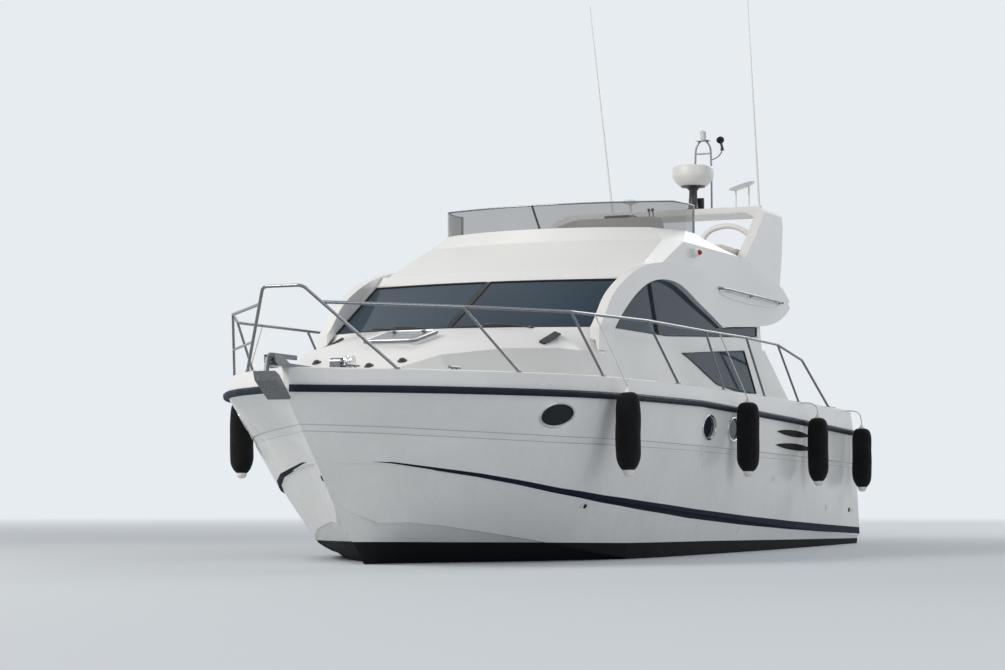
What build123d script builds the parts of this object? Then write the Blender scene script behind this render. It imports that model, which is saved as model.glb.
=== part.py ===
from build123d import *
from math import atan2, cos, degrees, hypot, pi, radians, sin, tan
import os

# A twin-engined flybridge motor yacht, about 12.6 m overall, afloat on its marks.
# Millimetres. +X points forward, +Y to port, +Z up. The origin is on the centreline
# at the waterline, amidships.

os.makedirs("parts", exist_ok=True)

# Fits and clearances
seat_gap = 0.3          # between pieces that rest on curved neighbours
running_gap = 0.05      # radial, shaft in bearing
door_gap = 6.0          # round lids, gates and doors
glass_thickness = 8.0

# Hull and deck joint
joint_fore_z = 1590.0   # height of the deck joint from the bow to the knee
joint_knee_x = 1100.0   # where the joint starts to fall towards the stern
joint_fall = 0.0266     # fall per millimetre aft of the knee
transom_x = -5300.0     # deck joint at the transom
bow_x = 6200.0
toe_fore_z = 1780.0     # top of the toe rail forward
toe_fall = 0.0100
toe_inset = 75.0        # toe rail's inner edge, in from the sheer
toe_width = 55.0
toe_drop = 45.0         # from the toe rail down to the side deck
deck_camber = 90.0      # rise at the centreline where the deck is widest
widest_deck = 1900.0
deck_lip = 6.0          # hull side proud of the deck moulding
water_clear_z = -2500.0
far_x = 9000.0
half_space = 3000.0

# Cockpit and saloon
well_aft_x = -4850.0
well_fore_x = 2200.0
well_half = 1480.0
well_floor_z = 930.0
bulkhead_x = -2500.0
bulkhead_thickness = 50.0
cockpit_sole_thickness = 30.0
saloon_sole_thickness = 60.0

# Engine bay, shafts and rudders
bay_aft_x = -4300.0
bay_fore_x = -1200.0
bay_half = 1250.0
bay_floor_z = -300.0
engine_length = 1350.0
engine_width = 760.0
engine_height = 880.0
engine_aft_x = -2950.0
shaft_y = 720.0
shaft_angle = 12.0
shaft_radius = 22.0
propeller_x = -5200.0
propeller_z = -860.0
propeller_radius = 275.0
propeller_hub_radius = 52.0
propeller_hub_length = 130.0
blade_count = 4
rudder_x = -5680.0
rudder_stock_radius = 20.0
rudder_top_z = -510.0
rudder_bottom_z = -1080.0
rudder_chord = 390.0
rudder_thickness = 40.0

# Deckhouse walls lean in as they rise
wall_ref_z = 2310.0     # foot of the windscreen
wall_ref_half = 1550.0
wall_lean = 0.0877      # inward per millimetre of height
wall_thickness = 60.0
house_base_z = 1790.0
house_top_z = 3000.0
screen_corner_x = 2500.0
screen_bulge = 400.0    # centre ahead of the corners, at the foot
screen_flatten = 0.313  # less bulge per millimetre of height
screen_run = 1.52       # aft per millimetre of height
screen_tuck = 30.0      # corner of the windscreen in from the wall
screen_shoulder = 250.0
screen_depth = 95.0     # windscreen frame, measured fore and aft
screen_head_z = 2865.0
screen_sill_z = 2322.0
screen_foot_half = 1475.0
screen_head_half = 1430.0
screen_mullion = 50.0
glass_depth = 16.0      # windscreen glass, measured fore and aft
wing_x = -2560.0        # end of the wall above the cockpit side
wing_knee_z = 2350.0
wing_foot_x = -3435.0

# Flybridge
# height, half breadth, corner x, corner in from the side, shoulder length, bulge
fly_rows = (
    (2885, 1560, 1630, 60, 250, 200), (3400, 1520, 400, 130, 300, 300), (3550, 1440, 300, 220, 500, 330),
)
brow_x = 1250.0         # ahead of this the flybridge comes down over the windscreen's head
# Top of the coaming from the front to the stern: x, z
coaming_line = (
    (2500, 3550), (-500, 3550), (-630, 3520), (-1150, 3460), (-2110, 3370), (-3430, 3150), (-3660, 3010),
)
coaming_z = fly_rows[-1][0]
fly_aft_x = coaming_line[-1][0]
fly_floor_z = house_top_z + 60
fly_well_half = 1370.0
fly_well_fore_x = 120.0
fly_well_aft_x = -3600.0
fly_well_cut_x = -260.0     # the well's fore corners are cut off from here
fly_well_cut_half = 1180.0
arch_face_y = 1575.0    # outer faces of the side arches
arch_depth = 100.0
stair_x = -3200.0
stair_y = -960.0
stair_size = 600.0

# Gate, hatches and lids
cockpit_sole_z = well_floor_z + cockpit_sole_thickness
gate_y = -1160.0
gate_width = 560.0
locker_x = 5570.0
locker_length = 370.0
locker_width = 420.0
locker_rebate = 30.0
locker_floor_z = 1745.0     # lid's seat
locker_depth = 295.0
hatch_x = 3930.0
hatch_z = 2135.0
hatch_slope = 13.0
hatch_size = 560.0
hatch_corner = 60.0
hatch_frame_width = 45.0
hatch_frame_height = 28.0
hatch_plane = Plane(
    origin=(hatch_x, 0, hatch_z), x_dir=(0, 1, 0),
    z_dir=(sin(radians(hatch_slope)), 0, cos(radians(hatch_slope))),
)

# Deck details
nose_half = 420.0       # the deck edge's steps shrink where the bow is narrower
plinth_aft_x = -3500.0
plinth_width = 120.0
rub_height = 66.0
rub_proud = 40.0
loft_margin = 60.0
end_gap = 5.0
shaft_length = 2300.0
rudder_stock_length = 300.0
intake_plane_y = 1890.0
# centre x, centre z, length
intake_slots = ((-2310, 1345, 1400), (-2370, 1190, 1580))
chine_flat = 45.0
knuckle_ledge = 26.0
band_height = 60.0      # shallow groove that runs the length of each side
band_depth = 8.0
band_bevel = 4.0
porthole_rows = ((4056, 1392), (780, 1350), (-40, 1350))
porthole_length = 386.0
porthole_height = 233.0
porthole_depth = 24.0
pane_thickness = 8.0

# Cabin trunk sections: x, half breadth at the foot, edge half breadth and height,
# shoulder half breadth and height, crown, bow of the side between the edge and the shoulder
trunk_rows = (
    (2200, 1606, 1585, 2010, 1545, 2311, 1, 4), (2500, 1600, 1575, 2035, 1530, 2311, 2, 4),
    (2650, 1590, 1560, 2052, 1290, 2311, 4, 45), (2900, 1560, 1450, 2065, 700, 2311, 8, 60),
    (3200, 1470, 1330, 2075, 400, 2281, 14, 60), (3900, 1230, 1080, 2040, 330, 2137, 12, 35),
    (4600, 880, 740, 1950, 240, 1983, 7, 12), (5020, 560, 440, 1797, 150, 1805, 4, 3),
)

# Saloon door and aft window
saloon_sole_z = well_floor_z + saloon_sole_thickness
glass_inset = 6.0       # windscreen glass behind the face of its frame, fore and aft
door_y = -300.0
door_opening = 780.0
door_low_z = 1010.0
door_high_z = 2890.0
door_top_z = 2905.0
door_width = 830.0
door_thickness = 34.0
door_frame = 70.0
door_travel = 780.0
door_handle_depth = 24.0
door_handle_width = 22.0
door_handle_length = 260.0
door_handle_z = 1000.0
door_x = bulkhead_x - bulkhead_thickness - door_gap - door_thickness / 2
track_height = 40.0
track_depth = 46.0
track_x = bulkhead_x - bulkhead_thickness - track_depth
door_bottom_z = cockpit_sole_z + track_height + seat_gap
door_track_length = door_width + door_travel + 30
door_track_y = door_y + door_travel / 2
aft_glass_y = 770.0
aft_glass_z = 2170.0
aft_glass_width = 1180.0
aft_glass_height = 1300.0

# Lids and seats
engine_hatch_x = -4200.0    # aft edge of its opening
engine_hatch_size = 900.0
lid_lap = 30.0
lid_thickness = 30.0
lid_corner = 40.0
cushion_thickness = 90.0
# x, y, length, breadth, height
fly_seat_rows = (
    (-1150, 700, 500, 900, 420), (-2690, 1020, 1780, 600, 420), (-700, -970, 1200, 600, 420),
)

# Helms
console_y = 700.0
console_width = 900.0
console_outline = (
    (fly_well_fore_x - seat_gap, fly_floor_z), (-330, fly_floor_z), (-400, 3440), (-290, 3630), (-230, 3700),
    (60, 3700), (fly_well_fore_x - seat_gap, 3560),
)
helm_y = -900.0
helm_width = 900.0
helm_outline = (
    (well_fore_x - seat_gap, saloon_sole_z), (1750, saloon_sole_z), (1700, 1760), (1810, 1950), (1900, 2240),
    (well_fore_x - seat_gap, 2280),
)
wheel_tilt = 30.0
wheel_rim_thickness = 14.0
wheel_shaft = 190.0
wheel_shaft_radius = 18.0
fly_wheel_radius = 180.0
fly_wheel_centre = (-475, console_y, 3610)
saloon_wheel_radius = 190.0
saloon_wheel_centre = (1625, helm_y, 1930)

# Wind deflector, as the rows of the flybridge
deflector_rows = ((3550, 1435, 290, 200, 500, 330), (3860, 1435, 0, 60, 250, 250))
deflector_aft_x = -490.0

# Radar arch: side view of a leg and the bar, then half of the ring seen from ahead
arch_side = (
    (-2110, 3370), (-2700, 3740), (-3050, 4000), (-3240, 4110), (-3300, 4170), (-4000, 4170), (-4000, 4110),
    (-3850, 4080), (-3840, 3950), (-3670, 3570), (-3430, 3150),
)
arch_ring_outer = ((1500, 3100), (1400, 4080), (1240, 4170))
arch_ring_inner = ((1385, 3100), (1290, 4010), (1150, 4080))
arch_top_z = 4170.0

# Rails
rail_radius = 15.0
rail_bend = 250.0
foot_radius = 24.0
foot_height = 8.0
# x of each stanchion's foot, x of its top
stanchion_rows = ((4530, 5090), (3420, 3980), (1590, 2300), (130, 560), (-1350, -820), (-2780, -2060))
# x, y, z of the guard rail's turning points aft of the pulpit
rail_points = (
    (5090, 1200, 2350), (3980, 1800, 2360), (2300, 1930, 2380), (560, 1930, 2380), (-820, 1930, 2390),
    (-2060, 1900, 2380), (-3080, 1880, 2250),
)
rail_end_x = -4250.0
pulpit_foot_x = 5550.0
pulpit_head = (6270, 200, 2490)
pulpit_join = 0.8       # share of the pulpit's leg below the guard rail
mid_rail_join = 0.45

# Fenders: x, side, top z
fender_rows = ((3400, 1, 1710), (40, 1, 1720), (-2760, 1, 1630), (-5050, 1, 1560), (3250, -1, 1700))
fender_radius = 125.0
fender_length = 850.0

# Cleats: x, y
cleat_rows = ((5700, 400), (4900, 1030), (-4960, 1700))
cleat_length = 230.0
cleat_base = 150.0
cleat_width = 50.0

# Anchor gear
windlass_x = 5170.0
windlass_axis_height = 85.0
drum_radius = 60.0
drum_length = 70.0
drum_y = 95.0
roller_radius = 30.0
roller_x = 6440.0
roller_z = 1815.0
roller_channel_z = 1776.0

# Bathing platform and its ladder
platform_top_z = 360.0
platform_thickness = 80.0
platform_half = 1450.0
platform_aft_x = -6250.0
platform_corner = 350.0
bath_ladder_y = -700.0
bath_ladder_half = 180.0
bath_ladder_length = 510.0
bath_tube_radius = 14.0
bath_pivot_x = -6276.0

# Trim tabs
tab_y = 1150.0
tab_length = 440.0
tab_chord = 260.0
tab_thickness = 8.0
tab_barrel = 8.0

# Gear on the arch
radome_x = -3480.0
radome_y = 365.0
radome_z = 4480.0
radome_radius = 260.0
radome_height = 250.0
mast_x = -3880.0
mast_y = 360.0
mast_height = 1030.0
whip_x = -3600.0
# foot y, top y, top z
whip_rows = ((1190, 1050, 6900), (-760, -1070, 6900))
pulpit_bend = 90.0
roller_half = 60.0
shank_z = roller_z + roller_radius + seat_gap
drum_pin_radius = 16.0
gate_height = 700.0
gate_thickness = 40.0
gate_pivot_inset = 10.0
gate_pin_radius = 8.0
gate_pin_depth = 20.0
gate_pivot_x = well_aft_x - door_gap - gate_pivot_inset
gate_pivot_y = gate_y - gate_width / 2 + 2 * door_gap + gate_pivot_inset
gate_leaf = gate_width - 3 * door_gap
bath_pivot_rise = 22.0
bath_pin_radius = 8.0
strut_along = 260.0
strut_x = propeller_x + strut_along * 0.978
strut_z = propeller_z + strut_along * 0.208
strut_top_z = -400.0
bench_start_y = -850.0
bench_end_y = 1470.0
bench_top_z = 1360.0
stair_rail_half = 250.0
stair_foot_x = -3480.0
stair_head_x = -2920.0
stair_steps = 7
dash_end_y = 1350.0

# Propeller blade sections: radius, chord, thickness
blade_rows = ((40, 110, 26), (150, 200, 16), (262, 90, 6))
blade_pitch = 420.0

from_corner = (Align.MIN, Align.CENTER, Align.MIN)
centred_low = (Align.CENTER, Align.CENTER, Align.MIN)
sides = (1, -1)
side_names = ((1, "port"), (-1, "starboard"))


def joint_z(x):
    return joint_fore_z - max(0.0, joint_knee_x - x) * joint_fall


def toe_z(x):
    return toe_fore_z - max(0.0, joint_knee_x - x) * toe_fall


def wall_half(z):
    return wall_ref_half - (z - wall_ref_z) * wall_lean


def screen_x(z):
    return screen_corner_x - (z - wall_ref_z) * screen_run


def write(part, name):
    part.label = name
    export_step(part, f"parts/{name}.step")


def faired(rows, steps):
    """Rows of a table with smooth rows added between them, column by column.

    The first column is the place along the boat, and every other column follows a
    cubic whose slope at each row is taken from the rows on either side of it.
    """
    def slope(i, k):
        low, high = max(i - 1, 0), min(i + 1, len(rows) - 1)
        return (rows[high][k] - rows[low][k]) / (rows[high][0] - rows[low][0])

    out = []
    for i in range(len(rows) - 1):
        run = rows[i + 1][0] - rows[i][0]
        for step in range(steps):
            t = step / steps
            h00, h10 = 2 * t**3 - 3 * t**2 + 1, t**3 - 2 * t**2 + t
            h01, h11 = 3 * t**2 - 2 * t**3, t**3 - t**2
            out.append([rows[i][0] + t * run] + [
                h00 * rows[i][k] + h10 * run * slope(i, k)
                + h01 * rows[i + 1][k] + h11 * run * slope(i + 1, k)
                for k in range(1, len(rows[i]))
            ])
    out.append(list(rows[-1]))
    return out


def joint_outline(edge_z):
    """Side view of everything between the deck joint and a height well clear of it."""
    return [
        (-far_x, edge_z), (far_x, edge_z), (far_x, joint_fore_z),
        (joint_knee_x, joint_fore_z), (-far_x, joint_z(-far_x)),
    ]


# Hull sections. Each stands on a plane that leans with the stem and the transom.
# sheer x, lean in degrees, keel z, chine y, chine z, knuckle y, knuckle z,
# groove y, groove z, sheer y
hull_rows = (
    (-5300, 22.0, -640, 1700, -170, 1800, 100, 1860, 1000, 1880),
    (-2200, 12.0, -750, 1750, -170, 1915, 255, 2000, 1065, 2025),
    (1100, 8.0, -790, 1710, -50, 1900, 455, 2020, 1125, 2070),
    (2400, 10.0, -760, 1600, 40, 1840, 540, 1985, 1145, 2060),
    (3200, 15.0, -710, 1440, 135, 1700, 605, 1885, 1155, 2010),
    (4000, 23.0, -600, 1220, 235, 1500, 680, 1700, 1165, 1835),
    (4900, 33.0, -420, 840, 355, 1050, 815, 1120, 1200, 1365),
    (5600, 40.0, -200, 400, 470, 450, 925, 500, 1235, 800),
    (6200, 43.5, -20, 45, 560, 28, 935, 30, 1250, 30),
)
hull_stations = faired(hull_rows, 2)
sheer_points = [(row[0], row[-1]) for row in hull_stations]
transom_lean = tan(radians(hull_rows[0][1]))


def along(points, x):
    """Value at x on the straight lines between points that run up in x."""
    for (x0, y0), (x1, y1) in zip(points, points[1:]):
        if x <= x1:
            return y0 + (x - x0) * (y1 - y0) / (x1 - x0)
    return points[-1][1]


def sheer_half(x):
    """Half breadth at the deck joint."""
    return along(sheer_points, x)


def topside(row):
    """One side of a hull section from the chine up to the sheer: half breadth, height."""
    x, lean, keel_z, chine_y, chine_z, knuckle_y, knuckle_z, groove_y, groove_z, sheer_y = row
    share = min(1.0, sheer_y / nose_half)
    flat, ledge, depth = share * chine_flat, share * knuckle_ledge, share * band_depth
    flat_z = chine_z - flat * (chine_z - keel_z) / chine_y
    below = (groove_y - knuckle_y) / (groove_z - knuckle_z)
    flare = (sheer_y - groove_y) / (joint_z(x) - groove_z)
    rise = band_height / 2
    return [
        (chine_y - flat, flat_z), (chine_y, flat_z), (knuckle_y - ledge, knuckle_z), (knuckle_y, knuckle_z),
        (groove_y - rise * below, groove_z - rise),
        (groove_y - rise * below - depth, groove_z - rise + band_bevel),
        (groove_y + rise * flare - depth, groove_z + rise - band_bevel),
        (groove_y + rise * flare, groove_z + rise),
        (sheer_y + flare * loft_margin, joint_z(x) + loft_margin),
    ]


def hull_half(x, z):
    """Half breadth of the hull's side at a place, between the leaning stations."""
    points = []
    for row in hull_stations:
        heights = [(height, half) for half, height in topside(row)[1:]]
        points.append((row[0] - (joint_z(row[0]) - z) * tan(radians(row[1])), along(heights, z)))
    return along(points, x)


def porthole_plane(x, z, side):
    """Plane on the hull's side, facing out, with its x along the boat."""
    near, step = Vector(x, hull_half(x, z), z), 100.0
    ahead = Vector(x + step, hull_half(x + step, z), z) - Vector(x - step, hull_half(x - step, z), z)
    up = Vector(x, hull_half(x, z + step), z + step) - Vector(x, hull_half(x, z - step), z - step)
    out = up.cross(ahead).normalized()
    return Plane(
        origin=(near.X, side * near.Y, near.Z), x_dir=(ahead.X, side * ahead.Y, ahead.Z),
        z_dir=(out.X, side * out.Y, out.Z),
    )


def deck_crown(half):
    return deck_camber * half / widest_deck


def deck_z(x, y):
    """Height of the deck inside the toe rail."""
    half = sheer_half(x) - toe_inset - toe_width
    return toe_z(x) - toe_drop + deck_crown(half) * (1 - (y / half) ** 2)


def deck_seat(x, y, length, breadth):
    """Height that clears the deck everywhere under a flat base."""
    corners = [(x + i * length / 2, max(0.0, abs(y) + j * breadth / 2)) for i in sides for j in sides]
    return max(deck_z(*corner) for corner in corners) + seat_gap


def transom_at(z):
    return transom_x - (joint_z(transom_x) - z) * transom_lean


def wall_plane(side):
    """Plane on the outside of a deckhouse wall: local x runs forward, local y up the slope."""
    slope = atan2(wall_lean, 1)
    return Plane(
        origin=(0, side * wall_ref_half, wall_ref_z), x_dir=(1, 0, 0),
        z_dir=(0, -cos(slope), -side * sin(slope)),
    )


def wall_inward(side):
    return wall_plane(side).z_dir * side


def on_wall(points):
    """Points given as x and height, as they lie in the wall's plane."""
    return [(x, (z - wall_ref_z) * hypot(1, wall_lean)) for x, z in points]


# Shafts run down and aft from the hull to the propellers
shaft_dir = Vector(cos(radians(shaft_angle)), 0, sin(radians(shaft_angle)))


def shaft_plane(side, along):
    """Plane square to a shaft, a distance forward of its propeller."""
    centre = Vector(propeller_x, side * shaft_y, propeller_z) + shaft_dir * along
    return Plane(origin=centre, x_dir=(0, 1, 0), z_dir=shaft_dir)


with BuildPart() as hull:
    for row in hull_stations:
        x, tilt = row[0], radians(row[1])
        edge_z = joint_z(x)
        port_side = topside(row)
        outline = [(0, row[2])] + port_side + [(-y, z) for y, z in reversed(port_side)]
        with BuildSketch(Plane(origin=(x, 0, edge_z), x_dir=(0, 1, 0), z_dir=(cos(tilt), 0, -sin(tilt)))):
            with BuildLine():
                Polyline(*[(y, (z - edge_z) / cos(tilt)) for y, z in outline], close=True)
            make_face()
    loft(ruled=True)
    with BuildSketch(Plane.XZ):
        with BuildLine():
            Polyline(*joint_outline(water_clear_z), close=True)
        make_face()
    extrude(amount=half_space, both=True, mode=Mode.INTERSECT)
    # Well for the saloon and the cockpit, with the engine bay below it
    with Locations((well_aft_x, 0, well_floor_z)):
        Box(well_fore_x - well_aft_x, 2 * well_half, half_space, align=from_corner, mode=Mode.SUBTRACT)
    with Locations((bay_aft_x, 0, bay_floor_z)):
        Box(bay_fore_x - bay_aft_x, 2 * bay_half, half_space, align=from_corner, mode=Mode.SUBTRACT)
    # Gateway through the transom
    with Locations((well_aft_x - 1000, gate_y, cockpit_sole_z)):
        Box(1100, gate_width, half_space, align=from_corner, mode=Mode.SUBTRACT)
    with Locations((gate_pivot_x, gate_pivot_y, cockpit_sole_z - gate_pin_depth - end_gap)):
        Cylinder(gate_pin_radius + running_gap, half_space, align=centred_low, mode=Mode.SUBTRACT)
    # Bearings of the shafts and rudder stocks
    for side in sides:
        with BuildSketch(shaft_plane(side, 0)):
            Circle(shaft_radius + running_gap)
        extrude(amount=shaft_length + end_gap, mode=Mode.SUBTRACT)
        with BuildSketch(Plane.XY.offset(rudder_top_z)):
            with Locations((rudder_x, side * shaft_y)):
                Circle(rudder_stock_radius + running_gap)
        extrude(amount=rudder_stock_length + end_gap, mode=Mode.SUBTRACT)
    # Anchor locker
    with Locations((locker_x, 0, locker_floor_z - locker_depth)):
        Box(
            locker_length - 2 * locker_rebate, locker_width - 2 * locker_rebate, locker_depth,
            align=centred_low, mode=Mode.SUBTRACT,
        )
    # Engine air intakes, two slots in each side
    for side in sides:
        for slot_x, slot_z, slot_length in intake_slots:
            with BuildSketch(Plane.XZ.offset(-side * intake_plane_y)):
                with Locations((slot_x, slot_z)):
                    with BuildLine():
                        ThreePointArc((-slot_length / 2, -10), (0, 48), (slot_length / 2, 18))
                        ThreePointArc((slot_length / 2, 18), (0, -38), (-slot_length / 2, -10))
                    make_face()
            extrude(amount=-side * half_space / 10, mode=Mode.SUBTRACT)
    # Pockets for the portholes
    for side in sides:
        for x, z in porthole_rows:
            with BuildSketch(porthole_plane(x, z, side).offset(-porthole_depth)):
                Ellipse(porthole_length / 2, porthole_height / 2)
            extrude(amount=4 * porthole_depth, mode=Mode.SUBTRACT)

with BuildPart() as portholes:
    for side in sides:
        for x, z in porthole_rows:
            with BuildSketch(porthole_plane(x, z, side).offset(-porthole_depth + seat_gap)):
                Ellipse(porthole_length / 2 - seat_gap, porthole_height / 2 - seat_gap)
            extrude(amount=pane_thickness)
write(portholes.part, "portholes")


def trunk_form(gap):
    """Cabin trunk ahead of the windscreen, grown by a gap."""
    with BuildPart() as form:
        for x, foot_y, edge_y, edge_z, top_y, top_z, crown, bow in trunk_rows:
            foot_y, edge_y, edge_z, top_z = foot_y + gap, edge_y + gap, edge_z + gap, top_z + gap
            run, rise = edge_y - top_y, top_z - edge_z
            slant = hypot(run, rise)
            side_y = (edge_y + top_y) / 2 + bow * rise / slant
            side_z = (edge_z + top_z) / 2 + bow * run / slant
            with BuildSketch(Plane.YZ.offset(x)):
                with BuildLine():
                    Polyline(
                        (edge_y, edge_z), (foot_y, joint_fore_z), (-foot_y, joint_fore_z), (-edge_y, edge_z),
                    )
                    ThreePointArc((-edge_y, edge_z), (-side_y, side_z), (-top_y, top_z))
                    ThreePointArc((-top_y, top_z), (0, top_z + crown), (top_y, top_z))
                    ThreePointArc((top_y, top_z), (side_y, side_z), (edge_y, edge_z))
                make_face()
        loft(ruled=True)
    return form.part


with BuildPart() as deck:
    for x, sheer_y in sheer_points:
        edge_z, top_z = joint_z(x), toe_z(x)
        share = min(1.0, sheer_y / nose_half)
        deck_y, edge = sheer_y - share * (toe_inset + toe_width), top_z - share * toe_drop
        with BuildSketch(Plane.YZ.offset(x)):
            with BuildLine():
                Polyline(
                    (deck_y, edge), (sheer_y - share * toe_inset, top_z),
                    (sheer_y - share * (toe_inset - toe_width * 0.7), top_z - share * 12),
                    (sheer_y - share * deck_lip, edge_z + share * 30),
                    (sheer_y - share * deck_lip, edge_z - loft_margin),
                    (-sheer_y + share * deck_lip, edge_z - loft_margin),
                    (-sheer_y + share * deck_lip, edge_z + share * 30),
                    (-sheer_y + share * (toe_inset - toe_width * 0.7), top_z - share * 12),
                    (-sheer_y + share * toe_inset, top_z), (-deck_y, edge),
                )
                ThreePointArc((-deck_y, edge), (0, edge + deck_crown(deck_y)), (deck_y, edge))
            make_face()
    loft(ruled=True)
    add(trunk_form(0))
    with Locations((well_fore_x, 0, wall_ref_z)):
        Box(half_space, half_space * 2, 1000, align=from_corner, mode=Mode.SUBTRACT)
    # Opening over the saloon and cockpit, with the plinth that carries the deckhouse
    with Locations((well_aft_x, 0, joint_z(transom_x) - 100)):
        Box(well_fore_x - well_aft_x, 2 * well_half, half_space, align=from_corner, mode=Mode.SUBTRACT)
    for side in sides:
        with Locations((plinth_aft_x, side * (well_half + plinth_width / 2), joint_z(transom_x) - 100)):
            Box(
                well_fore_x + 100 - plinth_aft_x, plinth_width, house_base_z - joint_z(transom_x) + 100,
                align=from_corner,
            )
    with Locations((well_aft_x - 1000, gate_y, 0)):
        Box(1100, gate_width, half_space, align=from_corner, mode=Mode.SUBTRACT)
    with BuildSketch(Plane.XZ):
        with BuildLine():
            Polyline(*joint_outline(far_x), close=True)
        make_face()
    extrude(amount=half_space, both=True, mode=Mode.INTERSECT)
    # Recess for the anchor locker lid, with the locker under it
    with Locations((locker_x, 0, locker_floor_z)):
        Box(locker_length, locker_width, 200, align=centred_low, mode=Mode.SUBTRACT)
    with Locations((locker_x, 0, joint_fore_z)):
        Box(
            locker_length - 2 * locker_rebate, locker_width - 2 * locker_rebate, 400,
            align=centred_low, mode=Mode.SUBTRACT,
        )
    with Locations((roller_x - 600, 0, roller_channel_z)):
        Box(600, 160, 100, align=from_corner, mode=Mode.SUBTRACT)
    # Raised frame of the foredeck hatch, square to the sloping trunk
    with BuildSketch(hatch_plane.offset(-150)):
        Rectangle(hatch_size, hatch_size)
        fillet(vertices(), hatch_corner)
    extrude(amount=150 + hatch_frame_height)
    with BuildSketch(hatch_plane.offset(-700)):
        Rectangle(hatch_size - 2 * hatch_frame_width, hatch_size - 2 * hatch_frame_width)
        fillet(vertices(), hatch_corner)
    extrude(amount=900, mode=Mode.SUBTRACT)

for side, name in side_names:
    with BuildPart() as rub_rail:
        for (x, sheer_y), (next_x, next_y) in zip(sheer_points, sheer_points[1:] + [sheer_points[-2]]):
            steep = hypot(1.0, (next_y - sheer_y) / (next_x - x))
            inner = side * (sheer_y + seat_gap)
            outer = side * (sheer_y + seat_gap + rub_proud * min(steep, 1.6))
            z = joint_z(x)
            with BuildSketch(Plane.YZ.offset(x)):
                with BuildLine():
                    Polyline(
                        (inner, z - rub_height / 2), (inner, z + rub_height / 2),
                        ((inner + outer) / 2, z + rub_height / 2), (outer, z + rub_height / 5),
                        (outer, z - rub_height / 5), ((inner + outer) / 2, z - rub_height / 2), close=True,
                    )
                make_face()
        loft(ruled=True)
    write(rub_rail.part, f"rub_rail_{name}")


def house_form(base_z, top_z, side_in, front_in, aft_x):
    """Solid with the deckhouse's plan shape at every height, set in from its faces."""
    with BuildPart() as form:
        for z in (base_z, top_z):
            half, corner = wall_half(z) - side_in, screen_x(z) - front_in
            bulge = screen_bulge - (z - wall_ref_z) * screen_flatten
            with BuildSketch(Plane.XY.offset(z)):
                with BuildLine():
                    Polyline(
                        (corner, -half + screen_tuck), (corner - screen_shoulder, -half), (aft_x, -half),
                        (aft_x, half), (corner - screen_shoulder, half), (corner, half - screen_tuck),
                    )
                    ThreePointArc(
                        (corner, half - screen_tuck), (corner + bulge, 0), (corner, -half + screen_tuck),
                    )
                make_face()
        loft(ruled=True)
    return form.part


def screen_pane(side, inset):
    """One windscreen pane as it is seen from ahead: y and height."""
    return [
        (side * (screen_mullion / 2 + inset), screen_sill_z + inset),
        (side * (screen_foot_half - inset), screen_sill_z + inset),
        (side * (screen_head_half - inset), screen_head_z - inset),
        (side * (screen_mullion / 2 + inset), screen_head_z - inset),
    ]


# Openings in each wall, seen from the side: x, z. The window's top edge is a smooth curve
arch_window_top = (
    (2208, 2326), (1957, 2491), (1733, 2617), (1386, 2778), (1043, 2885), (561, 2947), (87, 2919),
    (-376, 2784), (-758, 2673), (-1195, 2537),
)
arch_window_low = ((-2408, 2611), (-2379, 2503), (-1061, 2432), (714, 2337))
arch_mullion = ((1160, 2950), (1110, 2950), (960, 2250), (1010, 2250))
tri_window_low = ((-2170, 1822), (-958, 1863), (-562, 1941), (-183, 2052), (93, 2131), (278, 2171))
tri_window_top = ((-1858, 2304),)
# Side arch, from its foot ahead up over the window, then the wing under the flybridge
arch_outer = (
    (2709, 2302), (2545, 2450), (2419, 2582), (2123, 2773), (1689, 2950), (1104, 3079), (493, 3124),
    (-195, 3141), (-397, 3141),
)
arch_tail = ((-1000, 3000), (-3496, 3000), (-3592, 2918))
wing_low = ((-3592, 2918), (-3305, 2786), (-2520, 2635), (-1775, 2580), (-1064, 2527))
arch_inner = (
    (-1064, 2527), (-595, 2660), (-188, 2768), (304, 2899), (781, 2927), (1244, 2867), (1559, 2762),
    (1867, 2606), (2062, 2483), (2275, 2321),
)
arch_feet = ((2390, 2078), (2707, 2078))


def moved_in(points, gap):
    """A closed outline, listed anticlockwise, with its sides moved in by a gap."""
    out = []
    for i, point in enumerate(points):
        before, after = Vector(*points[i - 1]), Vector(*points[(i + 1) % len(points)])
        coming, going = (Vector(*point) - before).normalized(), (after - Vector(*point)).normalized()
        across = Vector(-coming.Y - going.Y, coming.X + going.X) * (gap / (1 + coming.dot(going)))
        out.append((point[0] + across.X, point[1] + across.Y))
    return out


def window_faces(side, inset):
    """The side openings as faces on the wall, or the panes that fit them."""
    with BuildSketch(wall_plane(side)) as faces:
        for smooth, straight in ((arch_window_top, arch_window_low), (tri_window_low, tri_window_top)):
            outline = moved_in(on_wall(smooth + straight), inset)
            with BuildLine():
                Spline(*outline[:len(smooth)])
                Polyline(*outline[len(smooth) - 1:], outline[0])
            make_face()
        with BuildLine():
            Polyline(*moved_in(on_wall(arch_mullion), -inset), close=True)
        make_face(mode=Mode.SUBTRACT)
    return faces.sketch


def fly_form(side_in, front_in, aft_x, rows):
    """Solid with the flybridge's plan shape at each height of the table, set in from its faces."""
    with BuildPart() as form:
        for z, half, corner, tuck, shoulder, bulge in rows:
            half, corner = half - side_in, corner - front_in
            with BuildSketch(Plane.XY.offset(z)):
                with BuildLine():
                    Polyline(
                        (corner, -half + tuck), (corner - shoulder, -half), (aft_x, -half),
                        (aft_x, half), (corner - shoulder, half), (corner, half - tuck),
                    )
                    ThreePointArc((corner, half - tuck), (corner + bulge, 0), (corner, -half + tuck))
                make_face()
        loft(ruled=True)
    return form.part


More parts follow.
